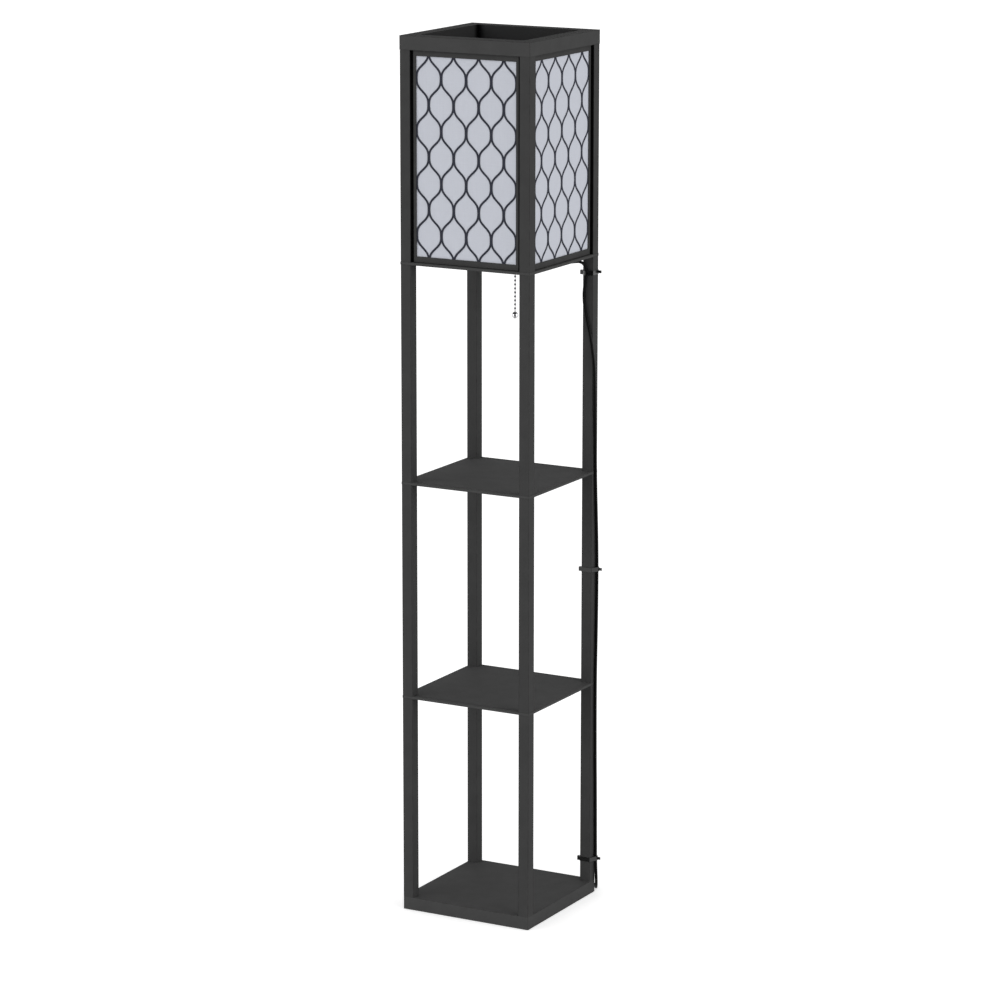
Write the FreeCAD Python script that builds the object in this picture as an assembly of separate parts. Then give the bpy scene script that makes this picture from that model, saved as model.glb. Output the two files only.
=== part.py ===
"""Shelf floor lamp: a base, two open shelves between four posts, and a square fabric shade.

Millimetres. +Z is up, the front is -Y, and the origin is on the floor under the base's centre.
Each node is one piece, or one set of like pieces, of the real lamp.
"""
import FreeCAD, Part
import math
import os

Vector = FreeCAD.Vector
ORIGIN = Vector(0, 0, 0)
UP = Vector(0, 0, 1)

# Base and feet
WIDTH = 259.0              # outside of the posts, and the base board's side
BASE_THICKNESS = 24.0
PAD_RADIUS = 10.0
PAD_THICKNESS = 3.0
PAD_RECESS = 2.0           # how far a pad is let into the base board
PAD_INSET = 29.5           # from the board's edge to the pad's centre

# Posts, one storey above the other
POST = 20.0                # side of the square section
LOWER_POST = 376.0
MIDDLE_POST = 391.0
UPPER_POST = 393.0
SHADE_POST = 375.0

# Shelves and the plate under the shade
SHELF_THICKNESS = 5.0
SHELF_LIP = 0.5            # how far a shelf stands out beyond the posts

# Top frame
RAIL_HEIGHT = 25.0
RAIL_WIDTH = 27.0
RAIL_LIP = 0.5

# Fasteners inside the posts
FIT = 0.1                  # radial play of a screw, stud or dowel in its hole
HOLE_END = 1.0             # free depth past a fastener's end
SCREW_RADIUS = 2.5
SCREW_LENGTH = 40.0
SCREW_HEAD_RADIUS = 5.0
SCREW_HEAD_HEIGHT = 3.0
HEAD_SINK = 5.0            # depth of the pocket for the head, from the board's underside
STUD_RADIUS = 3.0
STUD_LENGTH = 50.0
DOWEL_RADIUS = 4.0
DOWEL_LENGTH = 30.0

# Shade panels: strips on a sheet whose edges sit in channels on the posts
STRIP_SETBACK = 4.5        # from the posts' outer face to the strips' face
STRIP_THICKNESS = 2.0
SIDE_STRIP = 5.0           # strip widths
END_STRIP = 10.0
PANEL_GAP = 1.0            # from the plate up to a panel's lower edge
SHEET_THICKNESS = 1.5
SHEET_PLAY = 0.1           # between a sheet and its channel
CHANNEL_WIDTH = 4.5        # what a channel takes off the opening at each side
CHANNEL_WALL = 0.7
CHANNEL_SETBACK = 0.5      # from the posts' outer face to the channel's front edge

# Lamp holder, on a hollow nipple through the plate
NIPPLE_RADIUS = 5.0
NIPPLE_BORE = 3.5
NIPPLE_LOW = 9.0           # how far it reaches below the plate
NIPPLE_HIGH = 12.0         # and above it
NUT_RADIUS = 8.0           # across the corners
NUT_HEIGHT = 3.5
SHELL_RADIUS = 20.0
SHELL_WALL = 1.2
SHELL_HEIGHT = 54.0        # from the upper nut to the rim
NECK_HEIGHT = 4.0
CORE_SETDOWN = 1.5         # from the shell's rim to the core's top
CORE_POCKET = 28.0         # depth of the core's well
SLEEVE_WALL = 0.9
CONTACT_RADIUS = 4.0
CONTACT_HEIGHT = 4.0
CONTACT_PROUD = 1.0        # how far it stands above the well's floor

# Bulb
CAP_RADIUS = 13.1
CAP_HEIGHT = 24.0
CAP_PLAY = 0.3             # between the bulb's cap and the sleeve
TIP_RADIUS = 4.5
TIP_HEIGHT = 3.0
SEAT_PLAY = 0.3            # between a moving piece and its stop
GLOBE_RADIUS = 30.0
GLOBE_WALL = 1.5
HOUSING_HEIGHT = 41.0
GLOBE_SINK = 11.0          # from the housing's top up to the globe's centre

# Pull chain
CHAIN_X = 30.4             # where it hangs, beside the holder
BEAD_RADIUS = 2.1
BEAD_PITCH = 7.2
HUNG_COUNT = 12            # beads below the plate
GUIDED_COUNT = 4           # beads in the plate's hole and the guide
LINK_RADIUS = 0.6
BALL_RADIUS = 6.2
BALL_NECK = 6.0            # from the ball's surface to the lowest bead's centre
CHAIN_HOLE = 5.0
PULL_TRAVEL = 10.0
STOP_RADIUS = 3.2          # the bell at the chain's top
STOP_HEIGHT = 6.0
GUIDE_WALL = 1.5
GUIDE_PLAY = 0.6           # around a bead in the guide's mouth
GUIDE_MOUTH = 3.0          # height of the flared mouth

# Wiring cup and cord grip, under the plate
CUP_RADIUS = 19.5
CUP_WALL = 1.5
CUP_DEPTH = 15.0
FLANGE_RADIUS = 26.0
CUP_SCREW_RADIUS = 1.5
CUP_SCREW_LENGTH = 5.0
CUP_SCREW_HEAD = 2.6
GRIP_NECK = 4.2
GRIP_FLANGE = 5.4
GRIP_LENGTH = 44.0         # from the lamp's axis to the grip's tip
GRIP_TIP = 3.5
GRIP_DROP = 8.0            # from the plate's underside to the cord's middle

# Cord, its ties and its plug
CORD_RADIUS = 2.75
TIE_WALL = 0.9
TIE_HEIGHT = 8.0           # of a tie on the post
HANK_TIE_WIDTH = 5.0
TIE_PLAY = 0.1
TIE_SLACK = 0.5            # play of the cord in a tie on the post
TIE_HEAD = 6.0
TIE_TAB = 5.5              # how far a tie's pinched end stands out
TIE_TAB_HEIGHT = 5.0
TIE_LEVELS = (1166.0, 618.5, 67.5)
FLOOR_PLAY = 0.1           # between the cord and the floor
HANK_RUN = 91.0            # between the centres of the hank's end turns
HANK_RADIUS = 16.5         # of its end turns
HANK_GAP = 0.55            # between one layer and the next
HANK_WAIST = 9.0           # half the hank's width where it is tied
HANK_PLACE = (90.4, 165.55)   # where the cord enters it, heading -X
HANK_APPROACH = 13.5       # straight run before it
PLUG_LENGTH = 35.0
PLUG_WIDTH = 26.0
PLUG_THICKNESS = 13.7
PLUG_CHAMFER = 3.0
PLUG_SLEEVE = 16.0         # length of the tapered sleeve round the cord
SLEEVE_TIP = 3.35          # its radius where the cord leaves
SLEEVE_FOOT = 5.75         # and at the plug
PLUG_REAR = Vector(-66.0, 144.3, 6.9)   # where the cord enters the plug's sleeve
PIN_RADIUS = 2.0
PIN_LENGTH = 19.0
PIN_SPACING = 19.0

# The cord's way down, chosen by eye: across under the plate, a tight bend, down the rear right
# post's front face, round its front right edge, down its right face and away behind the base.
CORD_ROUTE = (
    (50.0, 50.0, 1187.0), (70.0, 67.5, 1185.4), (87.5, 81.5, 1185.6), (99.8, 91.8, 1186.6),
    (110.0, 100.2, 1187.0), (116.6, 106.2, 1178.0), (117.1, 106.2, 1165.0),
    (115.8, 105.6, 1149.0), (113.9, 104.6, 1132.0), (114.2, 104.7, 1114.0),
    (116.8, 105.3, 1096.0), (120.4, 105.6, 1077.0), (125.2, 105.5, 1058.0),
    (129.2, 105.2, 1040.0), (131.6, 105.6, 1022.0), (133.2, 107.4, 1004.0),
    (133.4, 109.8, 984.0), (133.2, 111.2, 962.0), (133.3, 112.6, 928.0),
    (133.1, 114.2, 893.0), (133.3, 115.4, 853.0), (133.1, 117.8, 781.0),
    (133.3, 121.7, 709.0), (133.4, 124.7, 640.0), (133.2, 125.1, 568.0),
    (133.3, 123.3, 492.0), (133.1, 121.4, 416.0), (133.3, 121.3, 340.0),
    (133.1, 122.7, 264.0), (133.3, 124.2, 188.0), (133.1, 125.5, 114.0),
    (133.3, 126.1, 62.0), (134.6, 127.0, 24.4), (130.9, 133.8, 11.0), (124.4, 145.5, 3.2),
    (117.9, 157.3, 3.0),
)
TAIL_ROUTE = ((-22.0, 165.55), (-32.0, 161.0), (-45.5, 148.3), (-56.0, 144.3))

CORNERS = {
    "front_left": (-1, -1),
    "front_right": (1, -1),
    "rear_right": (1, 1),
    "rear_left": (-1, 1),
}
SIDES = {"front": 0, "right": 90, "rear": 180, "left": 270}

# Levels and places that follow
HALF = WIDTH / 2
POST_CENTRE = HALF - POST / 2
POST_INNER = HALF - POST
BASE_BOTTOM = PAD_THICKNESS - PAD_RECESS
BASE_TOP = BASE_BOTTOM + BASE_THICKNESS
LOWER_SHELF = BASE_TOP + LOWER_POST
UPPER_SHELF = LOWER_SHELF + SHELF_THICKNESS + MIDDLE_POST
SHADE_FLOOR = UPPER_SHELF + SHELF_THICKNESS + UPPER_POST
SHADE_BOTTOM = SHADE_FLOOR + SHELF_THICKNESS
CAP_BOTTOM = SHADE_BOTTOM + SHADE_POST
SHEET_FACE = -HALF + STRIP_SETBACK + STRIP_THICKNESS
SHELL_BOTTOM = SHADE_BOTTOM + NUT_HEIGHT
SHELL_FLOOR = SHELL_BOTTOM + NECK_HEIGHT
SHELL_TOP = SHELL_BOTTOM + SHELL_HEIGHT
CORE_TOP = SHELL_TOP - CORE_SETDOWN
WELL_FLOOR = CORE_TOP - CORE_POCKET
SLEEVE_BORE = CAP_RADIUS + CAP_PLAY
CONTACT_TOP = WELL_FLOOR + CONTACT_PROUD
CAP_FOOT = CONTACT_TOP + SEAT_PLAY + TIP_HEIGHT
GRIP_LEVEL = SHADE_FLOOR - GRIP_DROP
HANK_START = Vector(*HANK_PLACE, CORD_RADIUS + FLOOR_PLAY)
HANK_RISE = 2 * CORD_RADIUS + HANK_GAP
WAIST_LIFT = TIE_WALL + TIE_PLAY
SAME_LENGTH = 1e-6         # below this, two points are one


def box(low, high):
    """Box between two opposite corners."""
    size = Vector(*high) - Vector(*low)
    return Part.makeBox(size.x, size.y, size.z, Vector(*low))


def rod(x, y, low, high, radius):
    """Upright cylinder."""
    return Part.makeCylinder(radius, high - low, Vector(x, y, low))


def turned(profile):
    """Solid turned about the Z axis from (radius, height) points."""
    points = [Vector(radius, 0, height) for radius, height in profile]
    face = Part.Face(Part.makePolygon(points + points[:1]))
    return face.revolve(ORIGIN, UP, 360)


def prism(outline, low, high):
    """Upright prism on a closed outline of (x, y) points."""
    points = [Vector(x, y, low) for x, y in outline]
    face = Part.Face(Part.makePolygon(points + points[:1]))
    return face.extrude(Vector(0, 0, high - low))


def turn(shape, degrees):
    """Copy of a shape, turned about the lamp's axis."""
    copy = shape.copy()
    copy.rotate(ORIGIN, UP, degrees)
    return copy


def save(name, *solids):
    """Write a node: one solid, or a set of separate ones."""
    shape = solids[0] if len(solids) == 1 else Part.makeCompound(list(solids))
    shape.exportStep("parts/" + name + ".step")


def at_corners(distance):
    """The four places at this distance from both middle planes."""
    return [(x * distance, y * distance) for x, y in CORNERS.values()]


# Base and feet

def make_base():
    """Base board with recesses for the pads and sunk holes for the screws."""
    board = box((-HALF, -HALF, BASE_BOTTOM), (HALF, HALF, BASE_TOP))
    for x, y in at_corners(HALF - PAD_INSET):
        board = board.cut(rod(x, y, BASE_BOTTOM, PAD_THICKNESS, PAD_RADIUS + FIT))
    for x, y in at_corners(POST_CENTRE):
        head_seat = BASE_BOTTOM + HEAD_SINK
        board = board.cut(rod(x, y, BASE_BOTTOM, head_seat, SCREW_HEAD_RADIUS + FIT))
        board = board.cut(rod(x, y, BASE_BOTTOM, BASE_TOP, SCREW_RADIUS + FIT))
    save("base_board", board)
    pads = [rod(x, y, 0, PAD_THICKNESS, PAD_RADIUS) for x, y in at_corners(HALF - PAD_INSET)]
    save("foot_pads", *pads)


def screw_top():
    """Level of the base screws' tips."""
    return BASE_BOTTOM + HEAD_SINK + SCREW_LENGTH


def make_base_screws():
    """Screws up through the base board into the lower posts."""
    screws = []
    seat = BASE_BOTTOM + HEAD_SINK
    for x, y in at_corners(POST_CENTRE):
        head = rod(x, y, seat - SCREW_HEAD_HEIGHT, seat, SCREW_HEAD_RADIUS)
        screws.append(head.fuse(rod(x, y, seat, screw_top(), SCREW_RADIUS)).removeSplitter())
    save("base_screws", *screws)


# Posts, shelves and their fasteners

def make_posts(storey, low, length, foot_hole, head_hole):
    """Four posts of one storey; each hole is (radius, depth)."""
    high = low + length
    for corner, (side_x, side_y) in CORNERS.items():
        x = side_x * POST_CENTRE
        y = side_y * POST_CENTRE
        post = box((x - POST / 2, y - POST / 2, low), (x + POST / 2, y + POST / 2, high))
        post = post.cut(rod(x, y, low, low + foot_hole[1], foot_hole[0]))
        post = post.cut(rod(x, y, high - head_hole[1], high, head_hole[0]))
        save("post_" + storey + "_" + corner, post)


def make_all_posts():
    """Sixteen posts in four storeys."""
    screw_hole = (SCREW_RADIUS + FIT, screw_top() - BASE_TOP + HOLE_END)
    stud_hole = (STUD_RADIUS + FIT, (STUD_LENGTH - SHELF_THICKNESS) / 2 + HOLE_END)
    dowel_hole = (DOWEL_RADIUS + FIT, DOWEL_LENGTH / 2 + HOLE_END)
    make_posts("lower", BASE_TOP, LOWER_POST, screw_hole, stud_hole)
    make_posts("middle", LOWER_SHELF + SHELF_THICKNESS, MIDDLE_POST, stud_hole, stud_hole)
    make_posts("upper", UPPER_SHELF + SHELF_THICKNESS, UPPER_POST, stud_hole, stud_hole)
    make_posts("shade", SHADE_BOTTOM, SHADE_POST, stud_hole, dowel_hole)


def shelf(level):
    """Square plate with a hole for a stud at each corner."""
    reach = HALF + SHELF_LIP
    plate = box((-reach, -reach, level), (reach, reach, level + SHELF_THICKNESS))
    for x, y in at_corners(POST_CENTRE):
        plate = plate.cut(rod(x, y, level, level + SHELF_THICKNESS, STUD_RADIUS + FIT))
    return plate


def studs(level):
    """Four studs through a shelf's corners, half in the post below and half in the one above."""
    middle = level + SHELF_THICKNESS / 2
    low = middle - STUD_LENGTH / 2
    return [rod(x, y, low, low + STUD_LENGTH, STUD_RADIUS) for x, y in at_corners(POST_CENTRE)]


def make_shelves():
    """Two shelves and the shade's floor, with their studs."""
    save("lower_shelf", shelf(LOWER_SHELF))
    save("upper_shelf", shelf(UPPER_SHELF))
    floor = shelf(SHADE_FLOOR).cut(rod(0, 0, SHADE_FLOOR, SHADE_BOTTOM, NIPPLE_RADIUS + FIT))
    floor = floor.cut(rod(CHAIN_X, 0, SHADE_FLOOR, SHADE_BOTTOM, CHAIN_HOLE))
    for x, y in cup_screw_places():
        floor = floor.cut(rod(x, y, SHADE_FLOOR, cup_screw_top() + FIT, CUP_SCREW_RADIUS + FIT))
    save("shade_floor", floor)
    save("lower_studs", *studs(LOWER_SHELF))
    save("upper_studs", *studs(UPPER_SHELF))
    save("shade_studs", *studs(SHADE_FLOOR))


def make_top_frame():
    """Four mitred rails, and the dowels that hold them on the posts."""
    outer = HALF + RAIL_LIP
    inner = outer - RAIL_WIDTH
    top = CAP_BOTTOM + RAIL_HEIGHT
    outline = [(-outer, -outer), (outer, -outer), (inner, -inner), (-inner, -inner)]
    rail = prism(outline, CAP_BOTTOM, top)
    dowel_top = CAP_BOTTOM + DOWEL_LENGTH / 2
    for x, y in at_corners(POST_CENTRE)[:2]:
        rail = rail.cut(rod(x, y, CAP_BOTTOM, dowel_top + HOLE_END, DOWEL_RADIUS + FIT))
    for side, degrees in SIDES.items():
        save("cap_rail_" + side, turn(rail, degrees))
    low = dowel_top - DOWEL_LENGTH
    dowels = [rod(x, y, low, dowel_top, DOWEL_RADIUS) for x, y in at_corners(POST_CENTRE)]
    save("cap_dowels", *dowels)


# Shade panels, made for the front and turned to each side

def panel_strips():
    """Four strips on a sheet's face, round what shows of it."""
    front = SHEET_FACE - STRIP_THICKNESS
    low = SHADE_BOTTOM + PANEL_GAP
    reach = POST_INNER - CHANNEL_WIDTH
    inner = reach - SIDE_STRIP
    lower = box((-reach, front, low), (reach, SHEET_FACE, low + END_STRIP))
    upper = box((-reach, front, CAP_BOTTOM - END_STRIP), (reach, SHEET_FACE, CAP_BOTTOM))
    left = box((-reach, front, low + END_STRIP), (-inner, SHEET_FACE, CAP_BOTTOM - END_STRIP))
    right = box((inner, front, low + END_STRIP), (reach, SHEET_FACE, CAP_BOTTOM - END_STRIP))
    return [lower, upper, left, right]


def panel_sheet():
    """Stiff fabric sheet, its edges in the channels."""
    reach = POST_INNER - CHANNEL_WALL - SHEET_PLAY
    low = (-reach, SHEET_FACE, SHADE_BOTTOM + PANEL_GAP)
    return box(low, (reach, SHEET_FACE + SHEET_THICKNESS, CAP_BOTTOM))


def panel_channels():
    """Two channels on the posts' inner faces, each with a lip before and behind the sheet."""
    edge = POST_INNER - CHANNEL_WIDTH
    wall = POST_INNER - CHANNEL_WALL
    front = -HALF + CHANNEL_SETBACK
    slot_back = SHEET_FACE + SHEET_THICKNESS + SHEET_PLAY
    back = slot_back + CHANNEL_WALL
    lip = SHEET_FACE - CHANNEL_WALL
    outline = [
        (POST_INNER, front), (POST_INNER, back), (edge, back), (edge, slot_back), (wall, slot_back),
        (wall, SHEET_FACE), (edge, SHEET_FACE), (edge, lip), (wall, lip), (wall, front),
    ]
    right = prism(outline, SHADE_BOTTOM, CAP_BOTTOM)
    return [right, right.mirror(ORIGIN, Vector(1, 0, 0))]


def make_panels():
    """Strips and sheet for each side, and all the channels."""
    channels = []
    for side, degrees in SIDES.items():
        save("panel_strips_" + side, *[turn(strip, degrees) for strip in panel_strips()])
        save("panel_sheet_" + side, turn(panel_sheet(), degrees))
        channels += [turn(channel, degrees) for channel in panel_channels()]
    save("panel_channels", *channels)


# Lamp holder

def make_nipple():
    """Threaded hollow nipple with a nut above and below the plate."""
    tube = rod(0, 0, SHADE_FLOOR - NIPPLE_LOW, SHADE_BOTTOM + NIPPLE_HIGH, NIPPLE_RADIUS)
    save("nipple", tube.cut(rod(0, 0, 0, CAP_BOTTOM, NIPPLE_BORE)))
    hexagon = [hex_corner(step) for step in range(6)]
    nuts = []
    for low in (SHADE_FLOOR - NUT_HEIGHT, SHADE_BOTTOM):
        nut = prism(hexagon, low, low + NUT_HEIGHT)
        nuts.append(nut.cut(rod(0, 0, low, low + NUT_HEIGHT, NIPPLE_RADIUS + FIT)))
    save("nipple_nuts", *nuts)


def hex_corner(step):
    """Corner of the nuts' outline."""
    angle = math.radians(60 * step)
    return (NUT_RADIUS * math.cos(angle), NUT_RADIUS * math.sin(angle))


def guide_levels():
    """Heights of the chain guide: mouth, chamber floor, chamber roof and top."""
    floor = stop_foot() - PULL_TRAVEL - SEAT_PLAY
    roof = stop_foot() + STOP_HEIGHT + SEAT_PLAY
    return (floor - GUIDE_WALL - GUIDE_MOUTH, floor, roof, roof + GUIDE_WALL)


def make_holder():
    """Holder: shell with its chain guide, insulating core, sleeve and centre contact."""
    bore = NIPPLE_RADIUS + FIT
    inner = SHELL_RADIUS - SHELL_WALL
    neck = bore + SHELL_WALL * 2
    shell = turned([
        (bore, SHELL_BOTTOM), (neck, SHELL_BOTTOM), (neck, SHELL_FLOOR), (SHELL_RADIUS, SHELL_FLOOR),
        (SHELL_RADIUS, SHELL_TOP), (inner, SHELL_TOP), (inner, SHELL_FLOOR + SHELL_WALL),
        (bore, SHELL_FLOOR + SHELL_WALL),
    ])
    mouth, floor, roof, top = guide_levels()
    chamber = STOP_RADIUS + GUIDE_PLAY
    half_width = chamber + GUIDE_WALL
    low_body = floor - GUIDE_WALL
    arm = box((SHELL_RADIUS - SHELL_WALL, -half_width, low_body), (CHAIN_X, half_width, top))
    arm = arm.fuse(rod(CHAIN_X, 0, low_body, top, half_width))
    arm = arm.cut(rod(0, 0, low_body, top, inner + SHELL_WALL / 2))
    flare = BEAD_RADIUS + GUIDE_PLAY
    arm = arm.fuse(rod(CHAIN_X, 0, mouth, low_body, flare + GUIDE_WALL))
    arm = arm.cut(rod(CHAIN_X, 0, floor, roof, chamber))
    arm = arm.cut(rod(CHAIN_X, 0, mouth, floor, flare))
    save("holder_shell", shell.fuse(arm).removeSplitter())

    seat = SHELL_FLOOR + SHELL_WALL
    core = rod(0, 0, seat, CORE_TOP, inner - FIT)
    nipple_room = SHADE_BOTTOM + NIPPLE_HIGH + HOLE_END
    core = core.cut(rod(0, 0, seat, nipple_room, NIPPLE_RADIUS + HOLE_END))
    core = core.cut(rod(0, 0, seat, CORE_TOP, NIPPLE_BORE))
    core = core.cut(rod(0, 0, WELL_FLOOR, CORE_TOP, SLEEVE_BORE + SLEEVE_WALL + FIT))
    core = core.cut(rod(0, 0, CONTACT_TOP - CONTACT_HEIGHT, WELL_FLOOR, CONTACT_RADIUS + FIT))
    save("holder_core", core)
    sleeve = rod(0, 0, WELL_FLOOR, CORE_TOP, SLEEVE_BORE + SLEEVE_WALL)
    save("holder_sleeve", sleeve.cut(rod(0, 0, WELL_FLOOR, CORE_TOP, SLEEVE_BORE)))
    save("holder_contact", rod(0, 0, CONTACT_TOP - CONTACT_HEIGHT, CONTACT_TOP, CONTACT_RADIUS))


def make_bulb():
    """Bulb: screw cap with its tip, housing and hollow globe."""
    cap_top = CAP_FOOT + CAP_HEIGHT
    cap = rod(0, 0, CAP_FOOT, cap_top, CAP_RADIUS)
    cap = cap.fuse(rod(0, 0, CAP_FOOT - TIP_HEIGHT, CAP_FOOT, TIP_RADIUS)).removeSplitter()
    save("bulb_cap", cap)
    joint = cap_top + HOUSING_HEIGHT
    joint_radius = math.sqrt(GLOBE_RADIUS ** 2 - GLOBE_SINK ** 2)
    housing = turned([(0, cap_top), (CAP_RADIUS, cap_top), (joint_radius, joint), (0, joint)])
    save("bulb_housing", housing)
    centre = Vector(0, 0, joint + GLOBE_SINK)
    globe = Part.makeSphere(GLOBE_RADIUS, centre)
    globe = globe.cut(Part.makeSphere(GLOBE_RADIUS - GLOBE_WALL, centre))
    save("bulb_globe", globe.cut(rod(0, 0, cap_top, joint, 2 * GLOBE_RADIUS)))


# Pull chain

def lowest_bead():
    """Level of the lowest bead's centre, so that the chain's pivot lies just under the plate."""
    return chain_pivot() - BEAD_PITCH * (HUNG_COUNT - 0.5)


def chain_pivot():
    """Level of the middle of the link that swings, half a pitch under the plate's beads."""
    return SHADE_FLOOR - BEAD_RADIUS


def stop_foot():
    """Underside of the stop at the chain's top."""
    return chain_pivot() + BEAD_PITCH * (GUIDED_COUNT - 0.5) + BEAD_RADIUS


def beads(first, count, wire_low, wire_high):
    """Round beads on a wire."""
    shape = rod(CHAIN_X, 0, wire_low, wire_high, LINK_RADIUS)
    for number in range(count):
        centre = Vector(CHAIN_X, 0, first + number * BEAD_PITCH)
        shape = shape.fuse(Part.makeSphere(BEAD_RADIUS, centre))
    return shape


def make_chain():
    """Chain in two pieces, guided and hung, with the stop at its top and the ball at its end."""
    pivot = chain_pivot()
    guided = beads(pivot + BEAD_PITCH / 2, GUIDED_COUNT, pivot + SEAT_PLAY / 2, stop_foot())
    stop = rod(CHAIN_X, 0, stop_foot(), stop_foot() + STOP_HEIGHT, STOP_RADIUS)
    save("pull_stop", guided.fuse(stop))
    low = lowest_bead()
    ball_centre = low - BALL_NECK - BALL_RADIUS
    save("pull_chain", beads(low, HUNG_COUNT, low - BALL_NECK, pivot - SEAT_PLAY / 2))
    ball = Part.makeSphere(BALL_RADIUS, Vector(CHAIN_X, 0, ball_centre))
    collar = rod(CHAIN_X, 0, ball_centre, low - BALL_NECK + BEAD_RADIUS, BEAD_RADIUS)
    wire = rod(CHAIN_X, 0, low - BALL_NECK, low, LINK_RADIUS)
    save("pull_ball", ball.fuse(collar).cut(wire))


# Wiring cup and cord grip

def cup_screw_places():
    """Two places on the cup's flange, across the cord's way."""
    ring = (CUP_RADIUS + FLANGE_RADIUS) / 2 / math.sqrt(2)
    return [(-ring, ring), (ring, -ring)]


def cup_screw_top():
    """Level of the cup screws' tips, inside the plate."""
    return SHADE_FLOOR - CUP_WALL + CUP_SCREW_LENGTH


def make_cup():
    """Cup under the plate that covers the wiring, its two screws and the cord grip."""
    bottom = SHADE_FLOOR - CUP_DEPTH
    inner = CUP_RADIUS - CUP_WALL
    cup = turned([
        (0, bottom), (CUP_RADIUS, bottom), (CUP_RADIUS, SHADE_FLOOR - CUP_WALL),
        (FLANGE_RADIUS, SHADE_FLOOR - CUP_WALL), (FLANGE_RADIUS, SHADE_FLOOR),
        (inner, SHADE_FLOOR), (inner, bottom + CUP_WALL), (0, bottom + CUP_WALL),
    ])
    hole = GRIP_NECK + FIT
    cup = cup.cut(along_grip([(0, 0), (hole, 0), (hole, GRIP_LENGTH), (0, GRIP_LENGTH)]))
    screws = []
    for x, y in cup_screw_places():
        cup = cup.cut(rod(x, y, SHADE_FLOOR - CUP_WALL, SHADE_FLOOR, CUP_SCREW_RADIUS + FIT))
        under = SHADE_FLOOR - CUP_WALL
        head = rod(x, y, under - CUP_SCREW_RADIUS, under, CUP_SCREW_HEAD)
        shank = rod(x, y, under, cup_screw_top(), CUP_SCREW_RADIUS)
        screws.append(head.fuse(shank).removeSplitter())
    save("wiring_cup", cup)
    save("cup_screws", *screws)

    inside = math.sqrt(inner ** 2 - GRIP_FLANGE ** 2) - FIT
    outside = CUP_RADIUS + FIT
    grip = along_grip([
        (0, inside - CUP_WALL), (GRIP_FLANGE, inside - CUP_WALL), (GRIP_FLANGE, inside),
        (GRIP_NECK, inside), (GRIP_NECK, outside), (GRIP_FLANGE, outside),
        (GRIP_FLANGE, outside + CUP_WALL), (GRIP_NECK, outside + CUP_WALL),
        (GRIP_TIP, GRIP_LENGTH), (0, GRIP_LENGTH),
    ])
    save("cord_grip", grip)


def along_grip(profile):
    """Solid turned about the grip's axis, which runs level towards the rear right post."""
    solid = turned(profile)
    solid.rotate(ORIGIN, Vector(0, 1, 0), 90)
    solid.rotate(ORIGIN, UP, 45)
    solid.translate(Vector(0, 0, GRIP_LEVEL))
    return solid


# Cord

def grip_tip():
    """Where the cord leaves the grip."""
    reach = GRIP_LENGTH / math.sqrt(2)
    return Vector(reach, reach, GRIP_LEVEL)


def unit(vector):
    """Copy of a vector, one long."""
    return Vector(vector).normalize()


def arc_from(start, tangent, end):
    """Arc that leaves start along the unit tangent and comes to end."""
    chord = end - start
    along = unit(chord)
    lean = tangent.getAngle(along)
    side = unit(tangent - along * tangent.dot(along))
    middle = (start + end) * 0.5 + side * (chord.Length / 2 * math.tan(lean / 2))
    return Part.Arc(start, middle, end).toShape()


def route_edges(points, radii):
    """Straight runs through the points, joined by the largest tangent arcs that fit."""
    edges = []
    here = points[0]
    for before, point, after in zip(points, points[1:], points[2:]):
        run_in = point - before
        run_out = after - point
        half_turn = run_in.getAngle(run_out) / 2
        trim = 0.45 * min(run_in.Length, run_out.Length)
        radii.append(trim / math.tan(half_turn))
        start = point - unit(run_in) * trim
        end = point + unit(run_out) * trim
        edges.append(Part.LineSegment(here, start).toShape())
        edges.append(arc_from(start, unit(run_in), end))
        here = end
    edges.append(Part.LineSegment(here, points[-1]).toShape())
    return edges


def tube(name, edges, heading):
    """Round tube along tangent edges; says how its volume compares with section times length."""
    path = Part.Wire(edges)
    start = edges[0].valueAt(edges[0].FirstParameter)
    section = Part.Wire(Part.makeCircle(CORD_RADIUS, start, heading))
    solid = path.makePipeShell([section], True, False)
    ideal = math.pi * CORD_RADIUS ** 2 * path.Length
    print(name, "length", round(path.Length, 1), "volume ratio", round(solid.Volume / ideal, 5))
    save(name, solid)
    return path


def hank_runs():
    """The hank's runs in order: side, level at the run's start and level at its end.

    The cord goes out on the far side, comes back on the near side while it climbs a layer, and goes
    out again above its first run.
    """
    low = HANK_START.z
    high = low + HANK_RISE
    return [(1, low, low), (-1, low, high), (1, high, high)]


def hank_edges():
    """One unbroken path: runs drawn in and lifted at the tied waist, joined by half turns."""
    lead = 2 * CORD_RADIUS
    middle_y = HANK_START.y - HANK_RADIUS
    right = HANK_START.x - lead
    left = right - HANK_RUN
    edges = [Part.LineSegment(HANK_START, Vector(right, HANK_START.y, HANK_START.z)).toShape()]
    runs = hank_runs()
    for number, (side, low, high) in enumerate(runs):
        ahead = Vector(-side, 0, 0)
        x_start, x_end = (right, left) if side > 0 else (left, right)
        start = Vector(x_start, middle_y + side * HANK_RADIUS, low)
        waist_level = (low + high) / 2 + WAIST_LIFT
        waist = Vector((left + right) / 2, middle_y + side * HANK_WAIST, waist_level)
        end = Vector(x_end, middle_y + side * HANK_RADIUS, high)
        for first, last in ((start, waist), (waist, end)):
            centre = (first + last) * 0.5
            edges.append(arc_from(first, ahead, centre))
            edges.append(arc_from(centre, tangent_at_end(edges[-1]), last))
        if number + 1 < len(runs):
            across = Vector(end.x, middle_y - side * HANK_RADIUS, high)
            edges += half_turn_edges(end, ahead, across)
    tail = Vector(left - lead, end.y, end.z)
    edges.append(Part.LineSegment(end, tail).toShape())
    return edges, tail


def tangent_at_end(edge):
    """Unit direction in which an edge ends."""
    return unit(edge.tangentAt(edge.LastParameter))


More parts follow.
